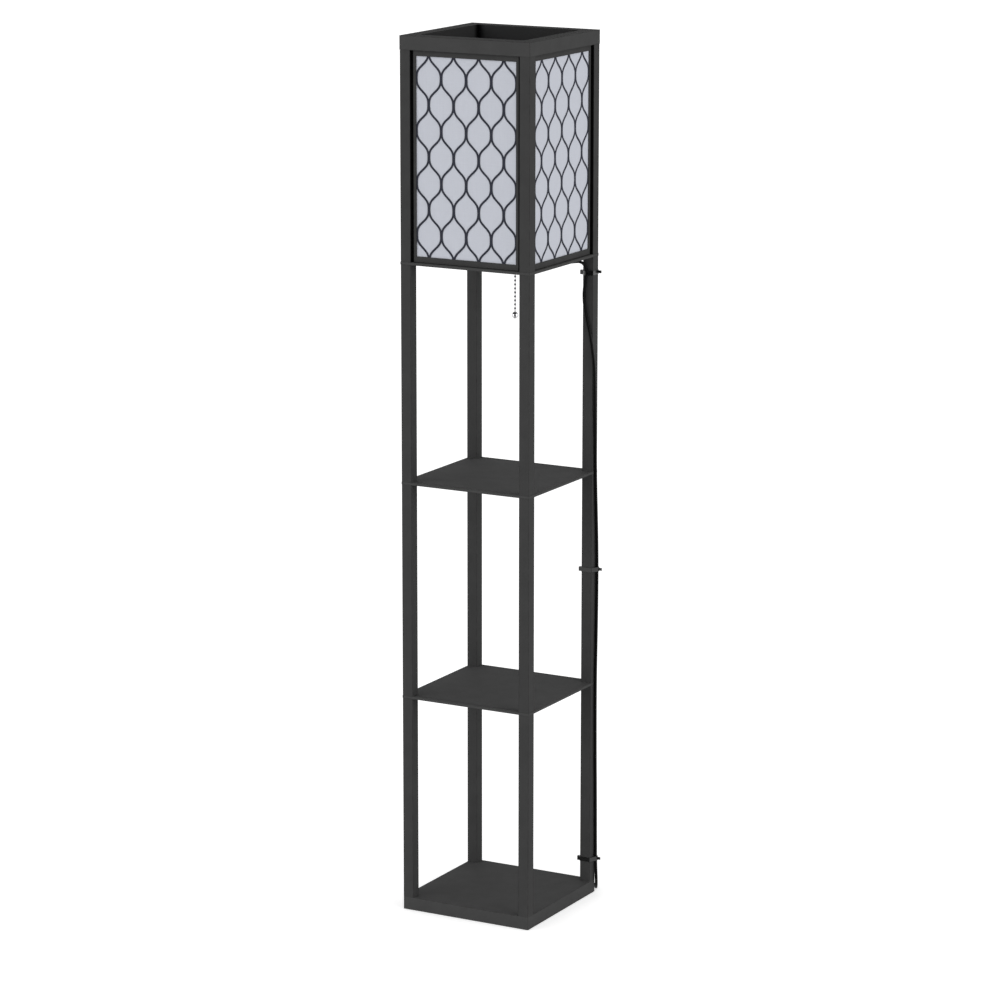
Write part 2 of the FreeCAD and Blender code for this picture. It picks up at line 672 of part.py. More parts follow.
def half_turn_edges(start, ahead, end):
    """Half turn as two quarter arcs."""
    radius = (end - start).Length / 2
    across = unit(end - start)
    crown = (start + end) * 0.5 + ahead * radius
    return [arc_from(start, ahead, crown), arc_from(crown, across, end)]


def least_gap(path):
    """Least free gap between stretches of a tube that are over three diameters apart along it."""
    step = CORD_RADIUS
    points = path.discretize(Number=int(path.Length / step))
    apart = int(6 * CORD_RADIUS / step) + 1
    least = min(
        points[i].distanceToPoint(points[j])
        for i in range(len(points)) for j in range(i + apart, len(points))
    )
    return least - 2 * CORD_RADIUS


def make_cord():
    """Cord from the grip to the hank, the hank, and the cord's end at the plug."""
    radii = []
    approach = HANK_START + Vector(HANK_APPROACH, 0, 0)
    points = [grip_tip()] + [Vector(*point) for point in CORD_ROUTE] + [approach, HANK_START]
    run = tube("cord_run", route_edges(points, radii), Vector(1, 1, 0))
    hank, tail_start = hank_edges()
    wound = tube("cord_hank", hank, Vector(-1, 0, 0))
    step = (PLUG_REAR.z - tail_start.z) / (len(TAIL_ROUTE) - 1)
    tail = [Vector(x, y, tail_start.z + step * number) for number, (x, y) in enumerate(TAIL_ROUTE)]
    tail_edges = route_edges([tail_start] + tail + [PLUG_REAR], radii)
    end = tube("cord_tail", tail_edges, Vector(-1, 0, 0))
    print("cord radii", [round(radius, 1) for radius in radii])
    print("hank least gap", round(least_gap(wound), 2))
    print("cord length in all", round(run.Length + wound.Length + end.Length, 1))


# Ties

def band(circles, low, height):
    """Tie round a ring of upright circles, given anticlockwise as (x, y, radius)."""
    rise = Vector(0, 0, height)
    outer = hull_face(circles, TIE_WALL, low).extrude(rise)
    return outer.cut(hull_face(circles, 0, low).extrude(rise))


def hull_face(circles, grow, low):
    """Face inside the line drawn tight round the circles."""
    ring = [(Vector(x, y, low), radius + grow) for x, y, radius in circles]
    normals = []
    for (centre, radius), (other, other_radius) in zip(ring, ring[1:] + ring[:1]):
        lean = (radius - other_radius) / (other - centre).Length
        along = unit(other - centre)
        outward = Vector(along.y, -along.x, 0)
        normals.append(along * lean + outward * math.sqrt(1 - lean ** 2))
    edges = []
    for number, (centre, radius) in enumerate(ring):
        coming = normals[number - 1]
        going = normals[number]
        crown = centre + unit(coming + going) * radius
        leaving = centre + going * radius
        edges.append(Part.Arc(centre + coming * radius, crown, leaving).toShape())
        other, other_radius = ring[(number + 1) % len(ring)]
        edges.append(Part.LineSegment(leaving, other + going * other_radius).toShape())
    return Part.Face(Part.Wire(edges))


def cord_at(level):
    """Where the cord's route passes a level, on its way down the post."""
    points = [Vector(*point) for point in CORD_ROUTE]
    for above, below in zip(points, points[1:]):
        if below.z <= level < above.z:
            share = (above.z - level) / (above.z - below.z)
            return above + (below - above) * share
    return points[-1]


def post_tie(level):
    """Tie round the rear right post and the cord, its head at the left and its end at the right."""
    cord = cord_at(level)
    ring = [
        (POST_INNER, POST_INNER, TIE_PLAY), (HALF, POST_INNER, TIE_PLAY),
        (HALF, HALF, TIE_PLAY), (POST_INNER, HALF, TIE_PLAY),
    ]
    place = 1 if cord.y < POST_INNER else 2
    ring.insert(place, (cord.x, cord.y, CORD_RADIUS + TIE_SLACK))
    low = level - TIE_HEIGHT / 2
    face = POST_INNER - TIE_PLAY - TIE_WALL / 2
    near = POST_INNER + TIE_WALL
    head = box((face - TIE_HEAD, near, low), (face, near + TIE_HEAD, low + TIE_HEIGHT))
    rim, tab_y = max((x + radius + TIE_WALL, y) for x, y, radius in ring)
    tab = box(
        (rim - TIE_WALL, tab_y - TIE_WALL, level - TIE_TAB_HEIGHT / 2),
        (rim + TIE_TAB, tab_y + TIE_WALL, level + TIE_TAB_HEIGHT / 2),
    )
    return band(ring, low, TIE_HEIGHT).fuse([head, tab]).removeSplitter()


def hank_tie():
    """Tie round the hank's waist."""
    play = CORD_RADIUS + TIE_PLAY
    low = HANK_START.z + WAIST_LIFT
    high = low + HANK_RISE
    ring = [
        (-HANK_WAIST, low, play), (HANK_WAIST, low, play),
        (HANK_WAIST, high, play), (-HANK_WAIST, high, play),
    ]
    tie = band(ring, 0, HANK_TIE_WIDTH)
    tie.rotate(ORIGIN, Vector(1, 1, 1), 120)
    waist_x = HANK_START.x - 2 * CORD_RADIUS - HANK_RUN / 2
    tie.translate(Vector(waist_x - HANK_TIE_WIDTH / 2, HANK_START.y - HANK_RADIUS, 0))
    return tie


def make_ties():
    """Three ties on the post and one on the hank."""
    save("cord_ties", *[post_tie(level) for level in TIE_LEVELS], hank_tie())


# Plug

def make_plug():
    """Flat two-pin plug, lying on its side's flat with its pins away from the cord."""
    sleeve = turned([(0, 0), (SLEEVE_TIP, 0), (SLEEVE_FOOT, PLUG_SLEEVE), (0, PLUG_SLEEVE)])
    sleeve.rotate(ORIGIN, Vector(0, 1, 0), -90)
    sleeve.translate(PLUG_REAR)
    back = PLUG_REAR.x - PLUG_SLEEVE
    front = back - PLUG_LENGTH
    half_width = PLUG_WIDTH / 2
    half_thickness = PLUG_THICKNESS / 2
    body = box(
        (front, PLUG_REAR.y - half_width, PLUG_REAR.z - half_thickness),
        (back, PLUG_REAR.y + half_width, PLUG_REAR.z + half_thickness),
    )
    long_edges = [edge for edge in body.Edges if abs(edge.Length - PLUG_LENGTH) < SAME_LENGTH]
    body = body.makeChamfer(PLUG_CHAMFER, long_edges)
    save("plug_body", body.fuse(sleeve).removeSplitter())
    pins = []
    for side in (-1, 1):
        foot = Vector(front, PLUG_REAR.y + side * PIN_SPACING / 2, PLUG_REAR.z)
        pins.append(Part.makeCylinder(PIN_RADIUS, PIN_LENGTH, foot, Vector(-1, 0, 0)))
    save("plug_pins", *pins)


os.makedirs("parts", exist_ok=True)
make_base()
make_base_screws()
make_all_posts()
make_shelves()
make_top_frame()
make_panels()
make_nipple()
make_holder()
make_bulb()
make_chain()
make_cup()
make_cord()
make_ties()
make_plug()
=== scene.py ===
# %% [markdown]
# # A shelf floor lamp
# The lamp is a square black tower: a base board, two open shelves between four posts, and a shade of
# four cloth panels under an open top frame.
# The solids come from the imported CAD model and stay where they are. Blender adds what a solid can't
# show: the cord as one smooth line, cloth, rounded edges and finishes.
# Everything is in metres, +Z is up and the front of the lamp is towards -Y.

# %% Load the frame
import math
import bmesh
import bpy
from mathutils import Matrix, Vector


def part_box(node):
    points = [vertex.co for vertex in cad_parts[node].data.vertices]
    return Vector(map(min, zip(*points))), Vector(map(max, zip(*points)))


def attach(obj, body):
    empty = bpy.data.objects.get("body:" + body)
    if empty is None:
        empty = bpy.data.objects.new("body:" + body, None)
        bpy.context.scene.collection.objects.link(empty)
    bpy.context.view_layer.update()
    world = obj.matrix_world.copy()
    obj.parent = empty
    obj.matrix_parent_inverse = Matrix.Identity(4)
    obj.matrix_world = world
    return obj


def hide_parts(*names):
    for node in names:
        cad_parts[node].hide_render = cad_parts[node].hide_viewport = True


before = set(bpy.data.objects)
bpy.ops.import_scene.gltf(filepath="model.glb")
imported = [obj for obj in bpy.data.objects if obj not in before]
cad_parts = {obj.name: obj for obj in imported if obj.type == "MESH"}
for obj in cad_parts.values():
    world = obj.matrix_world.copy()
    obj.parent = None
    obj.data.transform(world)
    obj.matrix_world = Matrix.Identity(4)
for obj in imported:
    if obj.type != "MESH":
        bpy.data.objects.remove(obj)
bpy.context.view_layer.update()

# %% [markdown]
# ## The camera
# A product picture is taken from a few metres away with a long lens, so that upright edges stay
# nearly parallel. The camera is placed by a position and three angles that were fitted to the
# lamp's straight edges. The same could be done with a Track To constraint, but plain axes are exact.

# %% Camera
yaw, pitch, roll = (math.radians(angle) for angle in (-28.8778, -12.4555, 0.0374))
ahead = Vector((math.cos(pitch) * math.sin(yaw), math.cos(pitch) * math.cos(yaw), math.sin(pitch)))
level = Vector((math.cos(yaw), -math.sin(yaw), 0))
above = level.cross(ahead)
camera_right = level * math.cos(roll) + above * math.sin(roll)
camera_up = above * math.cos(roll) - level * math.sin(roll)
camera_axes = Matrix((camera_right, camera_up, -ahead)).transposed().to_4x4()
camera_data = bpy.data.cameras.new("camera")
camera_data.lens = 143.405
camera_data.sensor_width = 36
camera_data.clip_end = 200
camera = bpy.data.objects.new("camera", camera_data)
camera.matrix_world = Matrix.Translation((3.3920885, -6.1505582, 2.3083971)) @ camera_axes
bpy.context.scene.collection.objects.link(camera)
bpy.context.scene.camera = camera
print("camera looks along", [round(value, 3) for value in ahead])

# %% [markdown]
# ## The mains cord
# The cord leaves a grip under the shade's floor, bends down at the rear right post, runs down that
# post under three ties and goes behind the base. What is left of its 1.8 m is folded into a tied
# hank on the floor.
# A cord is a fixed length of something flexible, so it is one NURBS curve with a round bevel. Its
# order of 3 gives smooth bends between the points; a poly line would look like bent wire.

# %% The cord's way down the post
cord_radius = 0.00275
grip_tip = (0.03111, 0.03111, 1.187)
way_down = [
    (0.0500, 0.0500, 1.1870), (0.0700, 0.0675, 1.1854), (0.0875, 0.0815, 1.1856),
    (0.0998, 0.0918, 1.1866), (0.1100, 0.1002, 1.1870), (0.1166, 0.1062, 1.1780),
    (0.1171, 0.1062, 1.1650), (0.1158, 0.1056, 1.1490), (0.1139, 0.1046, 1.1320),
    (0.1142, 0.1047, 1.1140), (0.1168, 0.1053, 1.0960), (0.1204, 0.1056, 1.0770),
    (0.1252, 0.1055, 1.0580), (0.1292, 0.1052, 1.0400), (0.1316, 0.1056, 1.0220),
    (0.1332, 0.1074, 1.0040), (0.1334, 0.1098, 0.9840), (0.1332, 0.1112, 0.9620),
    (0.1333, 0.1126, 0.9280), (0.1331, 0.1142, 0.8930), (0.1333, 0.1154, 0.8530),
    (0.1331, 0.1178, 0.7810), (0.1333, 0.1217, 0.7090), (0.1334, 0.1247, 0.6400),
    (0.1332, 0.1251, 0.5680), (0.1333, 0.1233, 0.4920), (0.1331, 0.1214, 0.4160),
    (0.1333, 0.1213, 0.3400), (0.1331, 0.1227, 0.2640), (0.1333, 0.1242, 0.1880),
    (0.1331, 0.1255, 0.1140), (0.1333, 0.1261, 0.0620), (0.1346, 0.1270, 0.0244),
    (0.1309, 0.1338, 0.0110), (0.1244, 0.1455, 0.0032), (0.1179, 0.1573, 0.0030),
    (0.1039, 0.16555, 0.00285),
]
print("points down the post:", len(way_down))

# %% [markdown]
# The hank goes out, back and out again in runs that are drawn together at the tied waist. A loop
# places its points: eight steps along each run, and six around each end turn. A curve of order 3
# cuts a little inside its points, so those of the turns lie on a slightly larger circle.

# %% The hank and the tail
hank_left, hank_right, hank_middle = -0.0061, 0.0849, 0.14905
floor_layer, upper_layer = 0.00285, 0.0089
turn_radius, waist_radius, waist_lift = 0.0165, 0.0090, 0.0010
run_steps, turn_steps, turn_cut = 8, 6, 0.966


def swell(angle):
    """Smooth wave: 0 at a whole turn and 1 at half a turn."""
    return 0.5 - 0.5 * math.cos(angle)


def hank_run(side, start_z, end_z):
    """Points of one run; the far side (+1) heads left and the near side (-1) heads right."""
    first_x, last_x = (hank_right, hank_left) if side > 0 else (hank_left, hank_right)
    run = []
    for step in range(run_steps + 1):
        share = step / run_steps
        waist = swell(2 * math.pi * share)
        across = side * (turn_radius - (turn_radius - waist_radius) * waist)
        climb = (end_z - start_z) * swell(math.pi * share)
        along = first_x + (last_x - first_x) * share
        run.append((along, hank_middle + across, start_z + climb + waist_lift * waist))
    return run


def hank_turn(centre_x, first_angle, z):
    """Points between the ends of a half turn."""
    circle = turn_radius / turn_cut
    angles = [math.radians(first_angle + 180 / turn_steps * step) for step in range(1, turn_steps)]
    return [(centre_x + circle * math.cos(angle), hank_middle + circle * math.sin(angle), z)
            for angle in angles]


hank = [(0.0904, 0.16555, floor_layer)]
hank += hank_run(1, floor_layer, floor_layer) + hank_turn(hank_left, 90, floor_layer)
hank += hank_run(-1, floor_layer, upper_layer) + hank_turn(hank_right, -90, upper_layer)
hank += hank_run(1, upper_layer, upper_layer)
tail = [
    (-0.0116, 0.16555, 0.0089), (-0.0220, 0.16555, 0.0089), (-0.0320, 0.1610, 0.00823),
    (-0.0455, 0.1483, 0.00757), (-0.0560, 0.1443, 0.0069), (-0.0660, 0.1443, 0.0069),
]
print("points in the hank:", len(hank), "and in the tail:", len(tail))

# %% One curve for the whole cord
cord_points = [grip_tip] + way_down + hank + tail
cord_curve = bpy.data.curves.new("mains_cord", "CURVE")
cord_curve.dimensions = "3D"
spline = cord_curve.splines.new("NURBS")
spline.points.add(len(cord_points) - 1)
for point, place in zip(spline.points, cord_points):
    point.co = (*place, 1)
    point.radius = cord_radius
spline.order_u = 3
spline.use_endpoint_u = True
spline.resolution_u = 8
cord_curve.bevel_depth = 1.0  # times the radius of each point
cord_curve.bevel_resolution = 5
cord_curve.use_fill_caps = True
mains_cord = bpy.data.objects.new("mains_cord", cord_curve)
bpy.context.scene.collection.objects.link(mains_cord)
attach(mains_cord, "frame")
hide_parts("cord_run", "cord_hank", "cord_tail")
print("cord has", len(cord_points), "points")

# %% [markdown]
# ## Light and floor
# The lamp stands in a plain white studio. The world gives soft light from all round, a floor sends
# some of it back up, and two very soft suns, one from the front left and one from the right, light
# the sides that the camera sees. Area lamps would do too, but a sun lights a distant floor as evenly
# as a near one.
# The backdrop has to be pure white, but that much light from all round would be too strong. So rays
# that are seen (straight, mirrored or let through) meet a brighter world than the others, and for
# them the floor glows too.

# %% Helpers for nodes
def feed(tree, value, socket):
    """Link a socket into another one, or set that one to a plain value."""
    if isinstance(value, bpy.types.NodeSocket):
        tree.links.new(value, socket)
    else:
        socket.default_value = value


def maths(tree, operation, first, second=0.0, third=0.0):
    """Math node whose inputs are sockets or numbers; gives its output."""
    node = tree.nodes.new("ShaderNodeMath")
    node.operation = operation
    for socket, value in zip(node.inputs, (first, second, third)):
        feed(tree, value, socket)
    return node.outputs[0]


def seen_rays(tree):
    """1 for rays that are seen: straight, mirrored or let through."""
    rays = tree.nodes.new("ShaderNodeLightPath").outputs
    unbent = maths(tree, "MAXIMUM", rays["Is Camera Ray"], rays["Is Glossy Ray"])
    return maths(tree, "MAXIMUM", unbent, rays["Is Transmission Ray"])


# %% World and suns
ambient_strength, backdrop_strength, sun_disc = 0.58, 1.0, math.radians(50)
world = bpy.data.worlds.new("studio")
bpy.context.scene.world = world
world.use_nodes = True
tree = world.node_tree
tree.nodes.clear()
choice = tree.nodes.new("ShaderNodeMixShader")
tree.links.new(seen_rays(tree), choice.inputs[0])
for index, strength in ((1, ambient_strength), (2, backdrop_strength)):
    background = tree.nodes.new("ShaderNodeBackground")
    background.inputs["Color"].default_value = (1, 1, 1, 1)
    background.inputs["Strength"].default_value = strength
    tree.links.new(background.outputs[0], choice.inputs[index])
output = tree.nodes.new("ShaderNodeOutputWorld")
tree.links.new(choice.outputs[0], output.inputs[0])


def soft_sun(name, strength, towards):
    """Sun with a wide disc that shines along a direction."""
    light = bpy.data.lights.new(name, "SUN")
    light.energy = strength
    light.angle = sun_disc
    lamp = bpy.data.objects.new(name, light)
    lamp.rotation_euler = Vector(towards).to_track_quat("-Z", "Y").to_euler()
    bpy.context.scene.collection.objects.link(lamp)


soft_sun("sun_front", 1.15, (0.6, 0.75, -0.22))
soft_sun("sun_right", 1.1, (-0.9, 0.1, -0.25))
print("world of strength", ambient_strength, "and suns:", [light.name for light in bpy.data.lights])

# %% Floor
floor_half, floor_glow = 60, 0.5
finishes = []


def start_material(name):
    """New material with its Principled shader: (material, node tree, shader)."""
    material = bpy.data.materials.new(name)
    material.use_nodes = True
    finishes.append(name)
    return material, material.node_tree, material.node_tree.nodes["Principled BSDF"]


def make_matt(shader, grey):
    """Grey that mirrors nothing."""
    shader.inputs["Base Color"].default_value = (grey, grey, grey, 1)
    shader.inputs["Roughness"].default_value = 1
    shader.inputs["Specular IOR Level"].default_value = 0


floor_mesh = bpy.data.meshes.new("floor")
shape = bmesh.new()
bmesh.ops.create_grid(shape, x_segments=8, y_segments=8, size=floor_half)
shape.to_mesh(floor_mesh)
shape.free()
floor = bpy.data.objects.new("floor", floor_mesh)
bpy.context.scene.collection.objects.link(floor)
floor_white, tree, shader = start_material("floor_white")
make_matt(shader, 0.9)
glow = maths(tree, "MULTIPLY", seen_rays(tree), floor_glow)
tree.links.new(glow, shader.inputs["Emission Strength"])
shader.inputs["Emission Color"].default_value = (1, 1, 1, 1)
floor_mesh.materials.append(floor_white)
print("floor is", [round(size) for size in floor.dimensions], "m")

# %% [markdown]
# Polished metal only looks like metal when it has something dark to mirror, so a black screen stands
# a metre from the lamp, on the camera's side. Only mirrored rays see it: it takes no light from the
# lamp.

# %% Black screen for the polished ball
screen_half_width, screen_height = 0.6, 2.4
screen_mesh = bpy.data.meshes.new("screen")
screen_foot = Vector((camera.location.x, camera.location.y, 0)).normalized()
screen_side = level * screen_half_width
screen_top = Vector((0, 0, screen_height))
screen_corners = [screen_foot - screen_side, screen_foot + screen_side]
screen_corners += [corner + screen_top for corner in reversed(screen_corners)]
screen_mesh.from_pydata(screen_corners, [], [(0, 1, 2, 3)])
screen = bpy.data.objects.new("screen", screen_mesh)
bpy.context.scene.collection.objects.link(screen)
screen.visible_camera = screen.visible_diffuse = False
screen.visible_transmission = screen.visible_shadow = False
screen_black, tree, shader = start_material("screen_black")
make_matt(shader, 0.002)
screen_mesh.materials.append(screen_black)
print("screen is", 2 * screen_half_width, "m wide and", screen_height, "m high")

# %% [markdown]
# ## Effects that several finishes share
# A black foil, a plastic and a metal all have fine unevenness, and edges get rubbed. Such an effect
# is built once as a node group with named inputs and outputs, and each material sets its own values.
# Groups put out only masks, heights and shades; the shader itself stays in the material.


# %% Helpers for vectors and noise
def vector_maths(tree, operation, first, second=None):
    """Vector Math node for one or two vectors; gives its output."""
    node = tree.nodes.new("ShaderNodeVectorMath")
    node.operation = operation
    tree.links.new(first, node.inputs[0])
    if second is not None:
        tree.links.new(second, node.inputs[1])
    return node.outputs[0]


def scaled(tree, vector, factor):
    """Vector or colour times a factor; gives its output."""
    node = tree.nodes.new("ShaderNodeVectorMath")
    node.operation = "SCALE"
    feed(tree, vector, node.inputs[0])
    feed(tree, factor, node.inputs["Scale"])
    return node.outputs[0]


def split_axes(tree, vector):
    """Outputs for x, y and z of a vector."""
    node = tree.nodes.new("ShaderNodeSeparateXYZ")
    tree.links.new(vector, node.inputs[0])
    return node.outputs


def clamped(tree, value):
    """Keep a value between 0 and 1."""
    node = tree.nodes.new("ShaderNodeClamp")
    tree.links.new(value, node.inputs[0])
    return node.outputs[0]


def noise(tree, vector, scale, detail, roughness=0.55):
    """Noise texture; gives its value output."""
    node = tree.nodes.new("ShaderNodeTexNoise")
    node.inputs["Scale"].default_value = scale
    node.inputs["Detail"].default_value = detail
    node.inputs["Roughness"].default_value = roughness
    tree.links.new(vector, node.inputs["Vector"])
    return node.outputs["Fac"]


# %% Helpers for node groups
def new_group(name, inputs, outputs):
    """Node group with a Vector input, float inputs (name, value) and float outputs.

    Gives the group, what it is given and what results.
    """
    group = bpy.data.node_groups.new(name, "ShaderNodeTree")
    group.interface.new_socket("Vector", in_out="INPUT", socket_type="NodeSocketVector")
    for label, value in inputs:
        socket = group.interface.new_socket(label, in_out="INPUT", socket_type="NodeSocketFloat")
        socket.default_value = value
    for label in outputs:
        group.interface.new_socket(label, in_out="OUTPUT", socket_type="NodeSocketFloat")
    entry = group.nodes.new("NodeGroupInput")
    leave = group.nodes.new("NodeGroupOutput")
    return group, entry.outputs, leave.inputs


def place_group(tree, group, coordinates, **values):
    """Put a group into a material, fed by coordinates, with its own values; gives its outputs."""
    node = tree.nodes.new("ShaderNodeGroup")
    node.node_tree = group
    tree.links.new(coordinates, node.inputs["Vector"])
    for label, value in values.items():
        node.inputs[label].default_value = value
    return node.outputs


# %% Group: fine grain
fine_grain, given, result = new_group(
    "fine_grain", [("Size", 0.001), ("Cloudiness", 0.5)], ["Height", "Shade"])
tree = fine_grain
enlarged = scaled(tree, given["Vector"], maths(tree, "DIVIDE", 1.0, given["Size"]))
pebbles = noise(tree, enlarged, scale=1.0, detail=4.0)
clouds = noise(tree, enlarged, scale=0.03, detail=3.0)
drift = maths(tree, "MULTIPLY", maths(tree, "SUBTRACT", clouds, 0.5), given["Cloudiness"])
tree.links.new(pebbles, result["Height"])
tree.links.new(maths(tree, "ADD", drift, 1.0), result["Shade"])
print("group fine_grain:", len(tree.nodes), "nodes")

# %% [markdown]
# Handling polishes a foil first along the edges of a board: there it gets darker and smoother. On a
# box, the distance to the nearest edge is the second smallest of the three distances to its faces,
# so a few math nodes find it from the coordinates alone. A bevel or pointiness node would also find
# edges, but depends on the mesh. The coordinates are folded first, so that one box near a corner of
# the lamp serves all four corners.

# %% Group: rubbed edges
rubbed_edges, given, result = new_group(
    "rubbed_edges", [("Reach", 0.001), ("Patchiness", 0.6)], ["Mask"])
for label in ("Centre", "Half"):
    rubbed_edges.interface.new_socket(label, in_out="INPUT", socket_type="NodeSocketVector")
tree = rubbed_edges
folded = vector_maths(tree, "ABSOLUTE", given["Vector"])
from_centre = vector_maths(tree, "SUBTRACT", folded, given["Centre"])
unsigned = vector_maths(tree, "ABSOLUTE", from_centre)
gap_x, gap_y, gap_z = split_axes(tree, vector_maths(tree, "SUBTRACT", given["Half"], unsigned))
smaller = maths(tree, "MINIMUM", gap_x, gap_y)
larger = maths(tree, "MAXIMUM", gap_x, gap_y)
edge_gap = maths(tree, "MAXIMUM", smaller, maths(tree, "MINIMUM", larger, gap_z))
patches = noise(tree, given["Vector"], scale=90.0, detail=4.0, roughness=0.6)
uneven = maths(tree, "MULTIPLY", maths(tree, "SUBTRACT", patches, 0.5), given["Patchiness"])
closeness = maths(tree, "SUBTRACT", 1.0, maths(tree, "DIVIDE", edge_gap, given["Reach"]))
rubbed = maths(tree, "ADD", closeness, maths(tree, "MULTIPLY", uneven, 4.0))
tree.links.new(clamped(tree, rubbed), result["Mask"])
print("group rubbed_edges:", len(tree.nodes), "nodes")


# %% [markdown]
# ## Black foil on the boards, posts and top frame
# The frame is fibreboard wrapped in a black foil with a fine, dry pebble. Under soft light it looks
# nearly the same grey on all faces, which means a high roughness and a weak mirror part.

# %% Helpers for finishes
def linear(*srgb):
    """Colour written as 0 to 255 values, as the shader's linear colour."""
    shares = [value / 255 for value in srgb]
    return [s / 12.92 if s <= 0.04045 else ((s + 0.055) / 1.055) ** 2.4 for s in shares] + [1.0]


def mix_colours(tree, mask, first, second):
    """Blend from the first colour to the second by a mask; each is a socket or a colour."""
    node = tree.nodes.new("ShaderNodeMix")
    node.data_type = "RGBA"
    tree.links.new(mask, node.inputs["Factor"])
    feed(tree, first, node.inputs[6])
    feed(tree, second, node.inputs[7])
    return node.outputs[2]


def bump(tree, shader, height, strength, distance):
    """Feed a height into the shader's normal."""
    node = tree.nodes.new("ShaderNodeBump")
    node.inputs["Strength"].default_value = strength
    node.inputs["Distance"].default_value = distance
    tree.links.new(height, node.inputs["Height"])
    tree.links.new(node.outputs[0], shader.inputs["Normal"])


def object_place(tree):
    """Coordinates in the lamp's own frame."""
    return tree.nodes.new("ShaderNodeTexCoord").outputs["Object"]


# %% Foil finish
foil_rough, pebble_rough, edge_polish, edge_shade = 0.68, 0.16, 0.12, 0.68


def foil(name, colour, centre, half):
    """Black foil; centre and half give the box whose edges are rubbed."""
    material, tree, shader = start_material(name)
    place = object_place(tree)
    grain = place_group(tree, fine_grain, place, Size=0.0009, Cloudiness=0.25)
    worn = place_group(tree, rubbed_edges, place, Reach=0.0012, Patchiness=0.7,
                       Centre=centre, Half=half)["Mask"]
    body = scaled(tree, colour[:3], grain["Shade"])
    darker = [edge_shade * value for value in colour[:3]] + [1]
    tree.links.new(mix_colours(tree, worn, body, darker), shader.inputs["Base Color"])
    rough = maths(tree, "MULTIPLY_ADD", grain["Height"], pebble_rough, foil_rough)
    polish = maths(tree, "MULTIPLY", worn, edge_polish)
    tree.links.new(maths(tree, "SUBTRACT", rough, polish), shader.inputs["Roughness"])
    shader.inputs["Specular IOR Level"].default_value = 0.03
    bump(tree, shader, grain["Height"], strength=0.35, distance=0.00012)
    return material


board_black = linear(72, 72, 72)
shelf_half = (0.13, 0.13, 0.0025)
base_foil = foil("base_foil", board_black, (0, 0, 0.013), (0.1295, 0.1295, 0.012))
lower_foil = foil("lower_shelf_foil", board_black, (0, 0, 0.4035), shelf_half)
upper_foil = foil("upper_shelf_foil", board_black, (0, 0, 0.7995), shelf_half)
floor_foil = foil("shade_floor_foil", board_black, (0, 0, 1.1975), shelf_half)
post_foil = foil("post_foil", linear(65, 65, 65), (0.1195, 0.1195, 0.8), (0.01, 0.01, 5.0))
cap_foil = foil("top_frame_foil", linear(70, 70, 70), (0, 0, 1.5875), (0.13, 0.13, 0.0125))
print("finishes so far:", finishes)

# %% [markdown]
# The top frame's inner faces get a darker colour than its foil: painted shade for the recess of the
# opening, which turns near black towards the inner corners, where painted shade gathers. A mask from
# the coordinates finds the inner faces: there, the larger of the distances from the lamp's middle
# planes is less than half the opening's width. The top face lies in the open and takes the most
# light, yet it looks as dark as the sides, so its colour is darkened too: painted shade on the top.

# %% Painted shade inside and on top of the top frame
opening_half, cap_face = 0.1031, 1.5996
corner_start, corner_reach, corner_blur = 0.088, 0.012, 0.3
tree = cap_foil.node_tree
shader = tree.nodes["Principled BSDF"]
off_x, off_y, up = split_axes(tree, vector_maths(tree, "ABSOLUTE", object_place(tree)))
farther = maths(tree, "MAXIMUM", off_x, off_y)
nearer = maths(tree, "MINIMUM", off_x, off_y)
inside = maths(tree, "LESS_THAN", farther, opening_half)
corner_share = maths(tree, "DIVIDE", maths(tree, "SUBTRACT", nearer, corner_start), corner_reach)
corner_shade = clamped(tree, maths(tree, "SMOOTH_MIN", corner_share, 1.0, corner_blur))
wrapped = shader.inputs["Base Color"].links[0].from_socket
# Painted shade: dark grey on the inner faces, near black in their corners.
painted_inner_shade = mix_colours(tree, corner_shade, linear(50, 50, 50), linear(5, 5, 5))
# Painted shade: the top face is darker than the rest of the foil.
outer_with_top_shade = mix_colours(tree, maths(tree, "GREATER_THAN", up, cap_face), wrapped, linear(50, 50, 50))
tree.links.new(mix_colours(tree, inside, outer_with_top_shade, painted_inner_shade), shader.inputs["Base Color"])
print("top frame's finish has", len(tree.nodes), "nodes")

# %% Rounded edges and foil on the CAD nodes
dressed = []


def dress(names, material, width=0.0):
    """Give CAD nodes a material and, by modifiers, rounded edges."""
    dressed.extend(names)
    for name in names:
        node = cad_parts[name]
        if not node.material_slots:
            node.data.materials.append(None)
        for slot in node.material_slots:
            slot.link = "OBJECT"
            slot.material = material
        if width:
            weld = node.modifiers.new("weld", "WELD")
            weld.merge_threshold = 0.00001
            soften = node.modifiers.new("soften", "BEVEL")
            soften.width = width
            soften.segments = 3
            soften.limit_method = "ANGLE"
            soften.angle_limit = math.radians(40)


corners = ("front_left", "front_right", "rear_right", "rear_left")
sides = ("front", "right", "rear", "left")
storeys = ("lower", "middle", "upper", "shade")
dress([f"post_{storey}_{corner}" for storey in storeys for corner in corners], post_foil, 0.0005)
dress(["base_board"], base_foil, 0.0006)
dress(["lower_shelf"], lower_foil, 0.0004)
dress(["upper_shelf"], upper_foil, 0.0004)
dress(["shade_floor"], floor_foil, 0.0004)
dress([f"cap_rail_{side}" for side in sides], cap_foil, 0.0004)
print("CAD nodes dressed so far:", len(dressed))


# %% [markdown]
# ## Small black parts
# Strips frame each cloth panel, channels hold it on the posts, and the cup, grip, ties, plug and pads
# are plastic or painted metal. They differ in colour, roughness and grain size, so one function
# makes them with different values.

